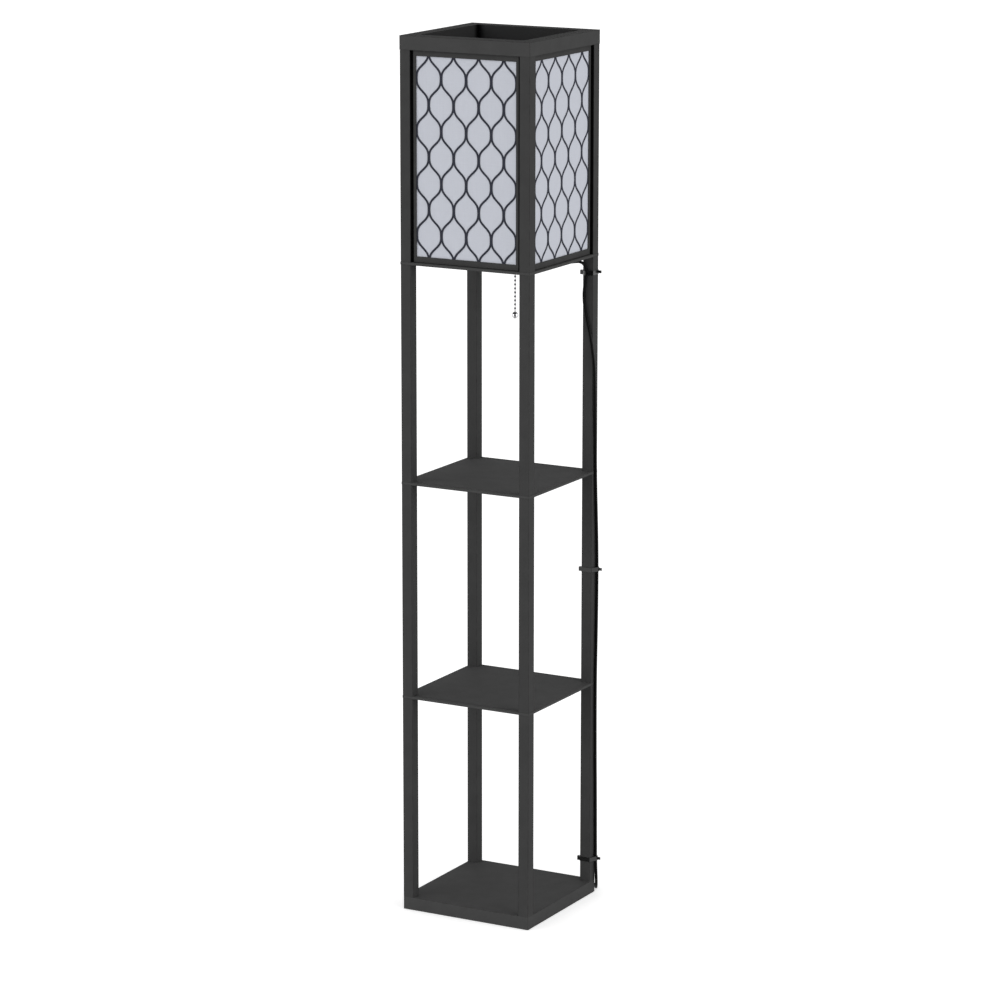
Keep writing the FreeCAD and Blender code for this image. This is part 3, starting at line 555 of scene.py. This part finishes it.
# %% Plastics and paints
def moulded(name, colour, roughness, size, bump_strength, specular=0.5, metallic=0.0):
    """Plain finish with fine grain of a size in its colour, roughness and bump."""
    material, tree, shader = start_material(name)
    grain = place_group(tree, fine_grain, object_place(tree), Size=size, Cloudiness=0.3)
    tree.links.new(scaled(tree, colour[:3], grain["Shade"]), shader.inputs["Base Color"])
    rough = maths(tree, "MULTIPLY_ADD", grain["Height"], 0.2, roughness - 0.1)
    tree.links.new(rough, shader.inputs["Roughness"])
    shader.inputs["Specular IOR Level"].default_value = specular
    shader.inputs["Metallic"].default_value = metallic
    bump(tree, shader, grain["Height"], bump_strength, distance=0.0001)
    return material


strip_black = moulded("strip_black", linear(64, 64, 64), 0.7, 0.0006, 0.2, 0.03)
# The channels are black plastic; their near-black colour also stands in for the shade in the narrow
# gaps beside the panels, so it is partly painted shade.
channel_black_gap_shade = moulded("channel_black_gap_shade", linear(6, 6, 6), 0.7, 0.0005, 0.2, 0.1)
cup_paint = moulded("cup_paint", linear(30, 30, 31), 0.4, 0.0008, 0.15)
grip_plastic = moulded("grip_plastic", linear(24, 24, 25), 0.5, 0.0005, 0.2)
cord_jacket = moulded("cord_jacket", linear(5, 5, 5), 0.5, 0.0007, 0.15, 0.1)
tie_plastic = moulded("tie_plastic", linear(12, 12, 12), 0.25, 0.0006, 0.15, 0.55)
pad_foam = moulded("pad_foam", linear(26, 26, 27), 0.95, 0.0007, 0.8, 0.1)
beech = moulded("beech", linear(201, 170, 128), 0.6, 0.0015, 0.4)
housing_white = moulded("housing_white", linear(232, 232, 229), 0.35, 0.0006, 0.1)
globe_frosted = moulded("globe_frosted", linear(243, 243, 238), 0.45, 0.0004, 0.1)
porcelain = moulded("porcelain", linear(236, 234, 226), 0.18, 0.004, 0.1)
dress([f"panel_strips_{side}" for side in sides], strip_black, 0.0003)
dress(["panel_channels"], channel_black_gap_shade, 0.0001)
dress(["wiring_cup"], cup_paint, 0.0004)
dress(["cord_ties"], tie_plastic, 0.0002)
dress(["foot_pads"], pad_foam, 0.0005)
dress(["cap_dowels"], beech, 0.0005)
dress(["bulb_globe"], globe_frosted)
dress(["holder_core"], porcelain, 0.0005)
cord_curve.materials.append(cord_jacket)
print("finishes so far:", len(finishes), "and CAD nodes dressed:", len(dressed))

# %% [markdown]
# ## Bare metals
# The ball is polished chrome that mirrors the white room and the black screen, and its chain is a
# darker steel. Studs, screws and the hollow nipple are zinc plated, the lamp holder's shell and
# sleeve are brass, the bulb's cap is aluminium and the plug's pins are nickel plated.

# %% Metals
zinc = moulded("zinc", linear(190, 192, 196), 0.35, 0.0006, 0.1, metallic=1.0)
brass = moulded("brass", linear(214, 180, 110), 0.28, 0.001, 0.05, metallic=1.0)
aluminium = moulded("aluminium", linear(214, 215, 218), 0.3, 0.0008, 0.05, metallic=1.0)
chrome = moulded("chrome", linear(215, 215, 217), 0.12, 0.003, 0.01, metallic=1.0)
bead_steel = moulded("bead_steel", linear(112, 112, 114), 0.22, 0.001, 0.05, metallic=1.0)
nickel = moulded("nickel", linear(205, 200, 190), 0.22, 0.001, 0.05, metallic=1.0)
dress(["lower_studs", "upper_studs", "shade_studs"], zinc, 0.0003)
dress(["nipple", "nipple_nuts"], zinc, 0.0003)
dress(["holder_shell", "holder_contact"], brass, 0.0003)
dress(["pull_stop", "pull_chain"], bead_steel)
dress(["pull_ball"], chrome)
print("finishes so far:", len(finishes), "and CAD nodes dressed:", len(dressed))

# %% [markdown]
# ## The cloth panels
# Each panel is a stiff linen laminate, 217 by 374 mm, whose edges sit in the channels. The bulb is
# off, so the cloth looks a pale, slightly blue grey.
# The weave is a plain one: in every second cell of a chequer the upright thread lies on top, in the
# others the level one. Math nodes give each thread a rounded profile. A texture picture would be
# easier, but it blurs up close.

# %% Group: plain weave
plain_weave, given, result = new_group(
    "plain_weave", [("Pitch", 0.0006), ("Slubs", 0.3)], ["Height", "Shade"])
tree = plain_weave
x, y, z = split_axes(tree, given["Vector"])
across = maths(tree, "ADD", x, y)  # on each panel one of the two doesn't change
across = maths(tree, "DIVIDE", across, given["Pitch"])
upright = maths(tree, "DIVIDE", z, given["Pitch"])


def thread(position):
    """Rounded thread profile, 0 at the thread's sides and 1 on its crown."""
    share = maths(tree, "FRACT", position)
    off = maths(tree, "MULTIPLY_ADD", share, 2.0, -1.0)
    return maths(tree, "SUBTRACT", 1.0, maths(tree, "MULTIPLY", off, off))


def slubs(across_scale, upright_scale):
    """Thick and thin stretches of thread: noise drawn out along one direction."""
    node = tree.nodes.new("ShaderNodeCombineXYZ")
    tree.links.new(maths(tree, "MULTIPLY", across, across_scale), node.inputs[0])
    tree.links.new(maths(tree, "MULTIPLY", upright, upright_scale), node.inputs[1])
    return noise(tree, node.outputs[0], scale=1.0, detail=2.0)


upright_thread, level_thread = thread(across), thread(upright)
cells = maths(tree, "ADD", maths(tree, "FLOOR", across), maths(tree, "FLOOR", upright))
odd = maths(tree, "FLOORED_MODULO", cells, 2.0)
both = maths(tree, "MULTIPLY", upright_thread, level_thread)
upright_up, level_up = (maths(tree, "MULTIPLY_ADD", both, 0.5, maths(tree, "MULTIPLY", profile, 0.5))
                        for profile in (upright_thread, level_thread))
step_up = maths(tree, "SUBTRACT", level_up, upright_up)
weave_height = maths(tree, "MULTIPLY_ADD", step_up, odd, upright_up)
slub = maths(tree, "ADD", slubs(0.4, 0.012), slubs(0.012, 0.4))
slub = maths(tree, "MULTIPLY", maths(tree, "SUBTRACT", slub, 1.0), given["Slubs"])
tree.links.new(maths(tree, "ADD", weave_height, slub), result["Height"])
# Painted shade: the colour darkens where a thread dips into the hollows between threads; the slubs
# only vary the tone.
shade = maths(tree, "MULTIPLY_ADD", weave_height, 0.1, 0.95)
tree.links.new(maths(tree, "MULTIPLY_ADD", slub, 0.25, shade), result["Shade"])
print("group plain_weave:", len(tree.nodes), "nodes")


# %% Cloth and print finishes
def woven(name, colour, roughness, bump_strength):
    """Cloth finish: thread bump and shade over one colour."""
    material, tree, shader = start_material(name)
    weave = place_group(tree, plain_weave, object_place(tree), Pitch=0.0006, Slubs=0.3)
    tree.links.new(scaled(tree, colour[:3], weave["Shade"]), shader.inputs["Base Color"])
    shader.inputs["Roughness"].default_value = roughness
    shader.inputs["Specular IOR Level"].default_value = 0.2
    bump(tree, shader, weave["Height"], bump_strength, distance=0.0001)
    return material


linen = woven("linen", linear(200, 203, 212), roughness=0.9, bump_strength=0.5)
lattice_print = woven("lattice_print", linear(48, 50, 60), roughness=0.8, bump_strength=0.4)
print("finishes so far:", len(finishes))

# %% Cloth sheets
sheet_face, cloth_thickness = 0.1230, 0.0006
sheet_half, sheet_low, sheet_high = 0.1087, 1.201, 1.575


def sheet_mesh(name):
    """Thin sheet for the front, as a grid with a front and a back."""
    mesh = bpy.data.meshes.new(name)
    shape = bmesh.new()
    bmesh.ops.create_grid(shape, x_segments=44, y_segments=76, size=0.5)
    for vertex in shape.verts:
        across, up = vertex.co.x, vertex.co.y + 0.5
        vertex.co = (2 * sheet_half * across, -sheet_face, sheet_low + (sheet_high - sheet_low) * up)
    bmesh.ops.recalc_face_normals(shape, faces=shape.faces)
    if next(iter(shape.faces)).normal.y > 0:
        bmesh.ops.reverse_faces(shape, faces=shape.faces)
    bmesh.ops.solidify(shape, geom=shape.faces[:], thickness=cloth_thickness)
    shape.to_mesh(mesh)
    shape.free()
    return mesh


def link_turned(name, mesh, degrees):
    """New object whose mesh is turned about the lamp's axis."""
    turned = bpy.data.objects.new(name, mesh)
    mesh.transform(Matrix.Rotation(math.radians(degrees), 4, "Z"))
    bpy.context.scene.collection.objects.link(turned)
    return turned


quarter_turns = {"front": 0, "right": 90, "rear": 180, "left": 270}
cloths = {}
for side, degrees in quarter_turns.items():
    cloth = link_turned(f"cloth_{side}", sheet_mesh(f"cloth_{side}"), degrees)
    cloth.data.materials.append(linen)
    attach(cloth, "frame")
    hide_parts(f"panel_sheet_{side}")
    cloths[side] = cloth
cloth_depths = [vertex.co.y for vertex in cloths["front"].data.vertices]
print("front cloth spans y", round(min(cloth_depths), 5), "to", round(max(cloth_depths), 5))

# %% [markdown]
# ## The ogee lattice
# The cloth is printed with an ogee lattice, an old pattern of wavy lines that touch in turn to the
# left and to the right. There is one wavy line in each 25 mm gap between columns, and each column
# swaps between touching and open every half period.
# The lines could be a mask in the cloth's material. Thin ribbons, 0.85 mm proud, keep their edges
# sharp from near and far, as a thick raised print does. Odd and even lines differ a little in
# height, so that no two faces lie in one plane where lines touch.

# %% Wavy lines
half_period, lattice_middle, column_gap = 0.0461, 1.3881, 0.025
line_count, line_steps, line_swing, line_width = 8, 190, 0.0232, 0.0035
even_rise, odd_rise, line_sink, slope_step = 0.00087, 0.00083, 0.0001, 0.0002
window_side, window_low, window_high, window_margin = 0.1, 1.211, 1.565, 0.002


def wave(share):
    """Sideways place of a line, -0.5 at its left contact and 0.5 at its right one."""
    turn = math.pi * (share - 0.5)
    return (1.1 * math.sin(turn) + 0.1 * math.sin(3 * turn)) / 2


def line_centre(number, z):
    """Place of a line's middle at a height; odd columns touch at the lattice's middle height."""
    cycle = ((z - lattice_middle) / half_period) % 2
    share = cycle if cycle <= 1 else 2 - cycle
    if number % 2 == 0:
        share = 1 - share
    left_column = (number - line_count // 2) * column_gap
    return left_column + column_gap / 2 + line_swing * wave(share)


print("lines:", line_count, "each", 1000 * line_width, "mm wide")


# %% Lattice ribbons
def lattice_line(shape, number, rise):
    """Ribbon along one wavy line, standing out of the sheet by rise."""
    low, high = window_low - window_margin, window_high + window_margin
    rows = []
    for step in range(line_steps + 1):
        z = low + (high - low) * step / line_steps
        below, above = line_centre(number, z - slope_step), line_centre(number, z + slope_step)
        slope = (above - below) / (2 * slope_step)
        stretch = math.sqrt(1 + slope * slope)
        middle = Vector((line_centre(number, z), 0, z))
        side = Vector((1, 0, -slope)) / stretch * line_width / 2
        ends = []
        for sign in (-1, 1):
            for depth in (sheet_face - line_sink, sheet_face + rise):
                place = middle + side * sign
                ends.append(shape.verts.new((place.x, -depth, place.z)))
        rows.append(ends)
    for (a, b, c, d), (e, f, g, h) in zip(rows, rows[1:]):
        for corner_set in ((b, d, h, f), (a, b, f, e), (d, c, g, h), (c, a, e, g)):
            shape.faces.new(corner_set)
    for a, b, c, d in (rows[0], rows[-1]):
        shape.faces.new((a, b, d, c))


def lattice_mesh(name):
    """All lines of a panel, cut at the window's edges."""
    mesh = bpy.data.meshes.new(name)
    shape = bmesh.new()
    for number in range(line_count):
        lattice_line(shape, number, odd_rise if number % 2 else even_rise)
    for place, outward in (((window_side, 0, 0), (1, 0, 0)), ((-window_side, 0, 0), (-1, 0, 0)),
                           ((0, 0, window_high), (0, 0, 1)), ((0, 0, window_low), (0, 0, -1))):
        bmesh.ops.bisect_plane(shape, geom=shape.verts[:] + shape.edges[:] + shape.faces[:],
                               plane_co=place, plane_no=outward, clear_outer=True)
    bmesh.ops.recalc_face_normals(shape, faces=shape.faces)
    shape.to_mesh(mesh)
    shape.free()
    return mesh


lattices = {}
for side, degrees in quarter_turns.items():
    lattice = link_turned(f"lattice_{side}", lattice_mesh(f"lattice_{side}"), degrees)
    lattice.data.materials.append(lattice_print)
    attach(lattice, "frame")
    lattices[side] = lattice
print("lattice faces per panel:", len(lattices["front"].data.polygons))

# %% [markdown]
# ## Small turned and moulded pieces
# Screws, the bulb's cap, the lamp holder's sleeve and the plug have threads, ribs and recesses that
# are too fine for the CAD solids. Each such piece is a skin over a stack of loops: every loop is a
# closed row of points, and the skin joins each loop to the next. A lathe (Screw modifier) would make
# the round ones, but not a cross recess or a thread, whose radius also changes round the loop.


# %% Helpers for skins over loops
def loop(radius, height, centre=(0.0, 0.0), count=48):
    """Level loop of points; the radius is a number or a function of the angle."""
    x, y = centre
    points = []
    for step in range(count):
        angle = 2 * math.pi * step / count
        reach = radius(angle) if callable(radius) else radius
        points.append((x + reach * math.cos(angle), y + reach * math.sin(angle), height))
    return points


def skin(shape, loops, hollow=False):
    """Join loops of equal length; the ends are closed, or joined to each other if it is hollow."""
    rings = [[shape.verts.new(point) for point in points] for points in loops]
    pairs = list(zip(rings, rings[1:]))
    if hollow:
        pairs.append((rings[-1], rings[0]))
    else:
        shape.faces.new(rings[0])
        shape.faces.new(rings[-1])
    for ring, after in pairs:
        for index, vertex in enumerate(ring):
            follow = (index + 1) % len(ring)
            shape.faces.new((vertex, ring[follow], after[follow], after[index]))


def piece_from(name, shape, body, slot, material, *replaced):
    """Turn a bmesh into a smooth piece of the lamp that rides on a body."""
    bmesh.ops.recalc_face_normals(shape, faces=shape.faces)
    mesh = bpy.data.meshes.new(name)
    shape.to_mesh(mesh)
    shape.free()
    mesh.shade_smooth()
    mesh.set_sharp_from_angle(angle=math.radians(38))
    mesh.materials.append(material)
    piece = bpy.data.objects.new(name, mesh)
    bpy.context.scene.collection.objects.link(piece)
    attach(piece, body)
    if replaced:
        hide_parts(*replaced)
    return piece


# %% [markdown]
# ## Screws
# The base and the wiring cup are held by pan-head screws with a cross recess. Seen from the middle
# of the head, the edge of a cross is at one distance for each angle, so the recess is a loop too.

# %% Cross-recessed screws
def cross(reach):
    """Radius function of a cross whose arms are as long as reach."""
    half_width = reach * math.tan(math.radians(15))

    def radius(angle):
        turn = angle % (math.pi / 2)
        off_arm = min(turn, math.pi / 2 - turn)
        return min(reach / math.cos(off_arm), half_width / max(math.sin(off_arm), 0.001))

    return radius


def screws(name, node, head_height, shank_radius):
    """Screws with their heads down, in place of a CAD node that has one at each of its corners."""
    shape = bmesh.new()
    low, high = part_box(node)
    corners_of = {}
    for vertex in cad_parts[node].data.vertices:
        corners_of.setdefault((vertex.co.x > 0, vertex.co.y > 0), []).append(vertex.co)
    for group in corners_of.values():
        xs, ys = [place.x for place in group], [place.y for place in group]
        centre = ((min(xs) + max(xs)) / 2, (min(ys) + max(ys)) / 2)
        wide = max(xs) - centre[0]
        rows = [(0.05 * wide, 0.62), (cross(0.30 * wide), 0.60), (cross(0.58 * wide), 0.02),
                (0.66 * wide, 0.0), (0.82 * wide, 0.06), (0.94 * wide, 0.22), (wide, 0.5),
                (wide, 0.97), (0.97 * wide, 1.0), (shank_radius, 1.0)]
        rows = [(radius, low.z + share * head_height) for radius, share in rows]
        rows += [(shank_radius, high.z - shank_radius), (0.3 * shank_radius, high.z)]
        skin(shape, [loop(radius, height, centre, count=96) for radius, height in rows])
    print(name, "has", len(corners_of), "screws")
    piece_from(name, shape, "frame", "steel", zinc, node)


screws("base_screw_set", "base_screws", head_height=0.003, shank_radius=0.0025)
screws("cup_screw_set", "cup_screws", head_height=0.0015, shank_radius=0.0015)

# %% [markdown]
# ## The bulb's screw cap and the threaded sleeve
# The cap has the usual 27 mm round thread: its radius goes in and out once every 3.6 mm of height,
# and the wave climbs as it goes round. Under it are a black glass ring and a soldered tip.

# %% Bulb cap
thread_pitch, cap_thread, cap_steps, foot_taper = 0.00362, 0.0009, 34, 0.0007


def threaded(radius, height, depth):
    """Radius function of a round thread at a height; it goes in by depth."""
    return lambda angle: radius - depth * swell(2 * math.pi * height / thread_pitch - angle)


low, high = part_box("bulb_cap")
cap_radius, tip_height = high.x, 0.003
foot = low.z + tip_height
shape = bmesh.new()
loops = [loop(0.0112, foot + 0.0030), loop(0.0118, foot + 0.0034)]
thread_low, thread_high = foot + 0.0042, foot + 0.0192
for step in range(cap_steps + 1):
    height = thread_low + (thread_high - thread_low) * step / cap_steps
    fade = min(1.0, 6 * step / cap_steps, 6 * (1 - step / cap_steps))
    start = cap_radius - foot_taper * max(0.0, 1 - 5 * step / cap_steps)
    loops.append(loop(threaded(start, height, cap_thread * fade), height))
loops += [loop(cap_radius, high.z - 0.0004), loop(cap_radius - 0.0003, high.z)]
skin(shape, loops)
piece_from("bulb_screw_cap", shape, "bulb", "aluminium", aluminium, "bulb_cap")

shape = bmesh.new()
skin(shape, [loop(0.0052, foot + 0.0001), loop(0.0072, foot + 0.0003), loop(0.0102, foot + 0.0021),
             loop(0.0111, foot + 0.0034)])
piece_from("bulb_glass_ring", shape, "bulb", "black_plastic", grip_plastic)

shape = bmesh.new()
skin(shape, [loop(0.0005, low.z), loop(0.0022, low.z + 0.0002), loop(0.0036, low.z + 0.0008),
             loop(0.0044, low.z + 0.0018), loop(0.0045, foot + 0.0002)])
piece_from("bulb_tip", shape, "bulb", "brass", brass)
print("cap's thread climbs", 1000 * thread_pitch, "mm a turn")

# %% Threaded sleeve
low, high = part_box("holder_sleeve")
bore, outside, lip = 0.0134, high.x, 0.0002
sleeve_thread, sleeve_steps = 0.0007, 50
shape = bmesh.new()
loops = [loop(outside, low.z), loop(outside, high.z - lip), loop(outside - lip, high.z),
         loop(bore + lip, high.z)]
for step in range(1, sleeve_steps):
    height = high.z - (high.z - low.z) * step / sleeve_steps
    depth = sleeve_thread * min(1.0, (step - 1) / 6)
    loops.append(loop(threaded(bore + depth, height, depth), height))
loops.append(loop(bore + lip, low.z))
skin(shape, loops, hollow=True)
piece_from("threaded_sleeve", shape, "frame", "brass", brass, "holder_sleeve")
print("sleeve is", round(1000 * (high.z - low.z), 1), "mm high")

# %% [markdown]
# ## The bulb's housing and the holder's beads
# The housing flares in a slow curve from the cap to the globe, with shallow ribs that stiffen the
# plastic and carry off heat. The brass shell has two rolled beads and a curled rim; each is a ring of
# small round section laid on the shell, which is simpler than changing the shell itself.

# %% Housing
low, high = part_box("bulb_housing")
rib_count, rib_depth, flare_steps = 30, 0.0007, 24
wide, flare_low, flare_high = high.x, low.z + 0.003, high.z - 0.0022


def ribbed(radius, depth):
    """Radius function with upright ribs."""
    return lambda angle: radius - depth * swell(rib_count * angle) ** 2


shape = bmesh.new()
rows = [(cap_radius - 0.0004, low.z), (cap_radius, low.z + 0.0004), (cap_radius, low.z + 0.0026),
        (cap_radius - 0.0003, flare_low)]
for step in range(1, flare_steps + 1):
    share = step / flare_steps
    flare = cap_radius + (wide - cap_radius) * (0.72 * share + 0.28 * share * share) * 0.985
    fade = min(1.0, 5 * share, 5 * (1 - share))
    rows.append((ribbed(flare, rib_depth * fade), flare_low + (flare_high - flare_low) * share))
rows += [(wide - 0.0002, high.z - 0.0018), (wide, high.z - 0.0014), (wide, high.z)]
skin(shape, [loop(radius, height, count=240) for radius, height in rows])
piece_from("ribbed_housing", shape, "bulb", "white_plastic", housing_white, "bulb_housing")
print("ribs on the housing:", rib_count)

# %% Beads on the holder's shell
low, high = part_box("holder_shell")
bead_middle, bead_steps = -low.x - 0.0001, 10
shape = bmesh.new()
beads = ((high.z - 0.0005, 0.0006), (high.z - 0.0120, 0.0005), (high.z - 0.0330, 0.0005))
for height, size in beads:
    angles = [2 * math.pi * step / bead_steps for step in range(bead_steps)]
    skin(shape, [loop(bead_middle + size * math.cos(angle), height + size * math.sin(angle), count=72)
                 for angle in angles], hollow=True)
piece_from("shell_beads", shape, "frame", "brass", brass)
print("beads on the shell:", len(beads))

# %% [markdown]
# ## The cord's grip and plug
# Where the cord leaves the cup, a tapered grip with ribs keeps it from kinking, and the plug has the
# same at its rear. The plug is moulded in one piece with a waist for the fingers. Its outline at each
# place along the cord is a superellipse, which goes from a circle to a rounded oblong by one number.

# %% Grip
def lay_along(loops, origin, along):
    """Turn level loops so that their height runs along a level direction from origin."""
    ahead = Vector(along).normalized()
    side = Vector((-ahead.y, ahead.x, 0))
    place = Vector(origin)
    return [[place + ahead * z + side * x + Vector((0, 0, y)) for x, y, z in points]
            for points in loops]


def ribs_between(first, last, start, end, count, depth):
    """Rows (radius, height) of a taper with round ribs and narrower grooves between them."""
    rows = []
    for number in range(count):
        for share, sink in ((0.0, 1.0), (0.16, 0.0), (0.62, 0.0), (0.78, 1.0)):
            along = (number + share) / count
            rows.append((first + (last - first) * along - depth * sink, start + (end - start) * along))
    return rows


grip_level = grip_tip[2]
grip_rows = [(0.0020, 0.01557), (0.0054, 0.01557), (0.0054, 0.01707), (0.0042, 0.01707),
             (0.0042, 0.0196), (0.0052, 0.0196), (0.0054, 0.0198), (0.0054, 0.0209), (0.0052, 0.0211)]
grip_rows += ribs_between(0.0044, 0.0036, 0.0213, 0.0428, count=9, depth=0.0006)
grip_rows += [(0.0035, 0.0430), (0.0035, 0.0437), (0.0032, 0.0440), (0.0026, 0.0440)]
shape = bmesh.new()
grip_loops = [loop(radius, height) for radius, height in grip_rows]
skin(shape, lay_along(grip_loops, (0, 0, grip_level), (1, 1, 0)))
ribbed_grip = piece_from("ribbed_grip", shape, "frame", "black_plastic", grip_plastic, "cord_grip")
print("grip has", len(grip_loops), "loops")

# %% Plug
low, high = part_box("plug_body")
plug_start = (high.x, (low.y + high.y) / 2, (low.z + high.z) / 2)
sleeve_length, plug_length, plug_half_height, plug_steps = 0.016, 0.035, 0.00685, 140
finger_ribs, finger_rib_depth, finger_low, finger_high = 16, 0.28, 0.18, 0.62


def oblong(half_width, half_height, power, steps=64):
    """Points (x, y) of a superellipse."""
    points = []
    for step in range(steps):
        angle = 2 * math.pi * step / steps
        cosine, sine = math.cos(angle), math.sin(angle)
        x = half_width * math.copysign(abs(cosine) ** (2 / power), cosine)
        y = half_height * math.copysign(abs(sine) ** (2 / power), sine)
        points.append((x, y))
    return points


def plug_outline(reach):
    """Half width and half height of the plug at a share of its length, with finger ribs."""
    widths = ((0.0, 7.0), (0.03, 8.6), (0.12, 10.4), (0.35, 10.9), (0.55, 11.5), (0.78, 12.8),
              (0.9, 13.0), (1.0, 13.0))  # share of the length, half width in mm
    for (start, first), (end, last) in zip(widths, widths[1:]):
        if start <= reach <= end:
            share = (reach - start) / (end - start)
            width = first + (last - first) * (3 * share ** 2 - 2 * share ** 3)
            break
    ribs = 0.0
    if finger_low < reach < finger_high:
        ribs = finger_rib_depth * max(0.0, math.sin(2 * math.pi * reach * finger_ribs))
    edge = min(1.0, reach / 0.05, (1 - reach) / 0.03 + 0.86)
    return (width - ribs) / 1000, plug_half_height * (0.80 + 0.20 * edge) - ribs * 0.0007


shape = bmesh.new()
loops = []
for step in range(plug_steps + 1):
    reach = step / plug_steps
    half_width, half_height = plug_outline(reach)
    height = sleeve_length + plug_length * reach
    loops.append([(x, y, height) for x, y in oblong(half_width, half_height, power=4)])
skin(shape, lay_along(loops, plug_start, (-1, 0, 0)))
sleeve_rows = [(0.0027, 0.0), (0.0032, 0.0), (0.00335, 0.0003), (0.00335, 0.0009)]
sleeve_rows += ribs_between(0.0035, 0.0055, 0.0011, 0.0158, count=6, depth=0.0005)
sleeve_rows += [(0.00575, 0.0158), (0.00575, 0.0162)]
loops = [loop(radius, height, count=40) for radius, height in sleeve_rows]
skin(shape, lay_along(loops, plug_start, (-1, 0, 0)))
moulded_plug = piece_from("moulded_plug", shape, "frame", "black_plastic", grip_plastic, "plug_body")
print("plug is", 1000 * plug_length, "mm long, without its sleeve")

# %% Pins, and the finished cord
low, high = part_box("plug_pins")
pin_radius = (high.z - low.z) / 2
pin_spacing = high.y - low.y - (high.z - low.z)
tip_rows = [(0.9, 0.0095), (1.0, 0.0098), (1.0, 0.0174), (0.93, 0.0182), (0.7, 0.0188), (0.3, 0.0190)]
collar_rows = [(0.94, -0.0004), (0.94, 0.0096), (0.9, 0.0098)]
tips, collars = bmesh.new(), bmesh.new()
for side in (-0.5, 0.5):
    start = (high.x, plug_start[1] + side * pin_spacing, plug_start[2])
    for shape, rows in ((tips, tip_rows), (collars, collar_rows)):
        loops = [loop(pin_radius * share, height, count=32) for share, height in rows]
        skin(shape, lay_along(loops, start, (-1, 0, 0)))
pin_tips = piece_from("pin_tips", tips, "frame", "nickel", nickel, "plug_pins")
pin_collars = piece_from("pin_collars", collars, "frame", "black_plastic", grip_plastic)
print("pins are", round(1000 * pin_spacing, 1), "mm apart")

# %% [markdown]
# ## Colour management
# Standard view, so that a colour shows as it is written.

# %% Finish
bpy.context.scene.view_settings.view_transform = "Standard"
bpy.context.view_layer.update()
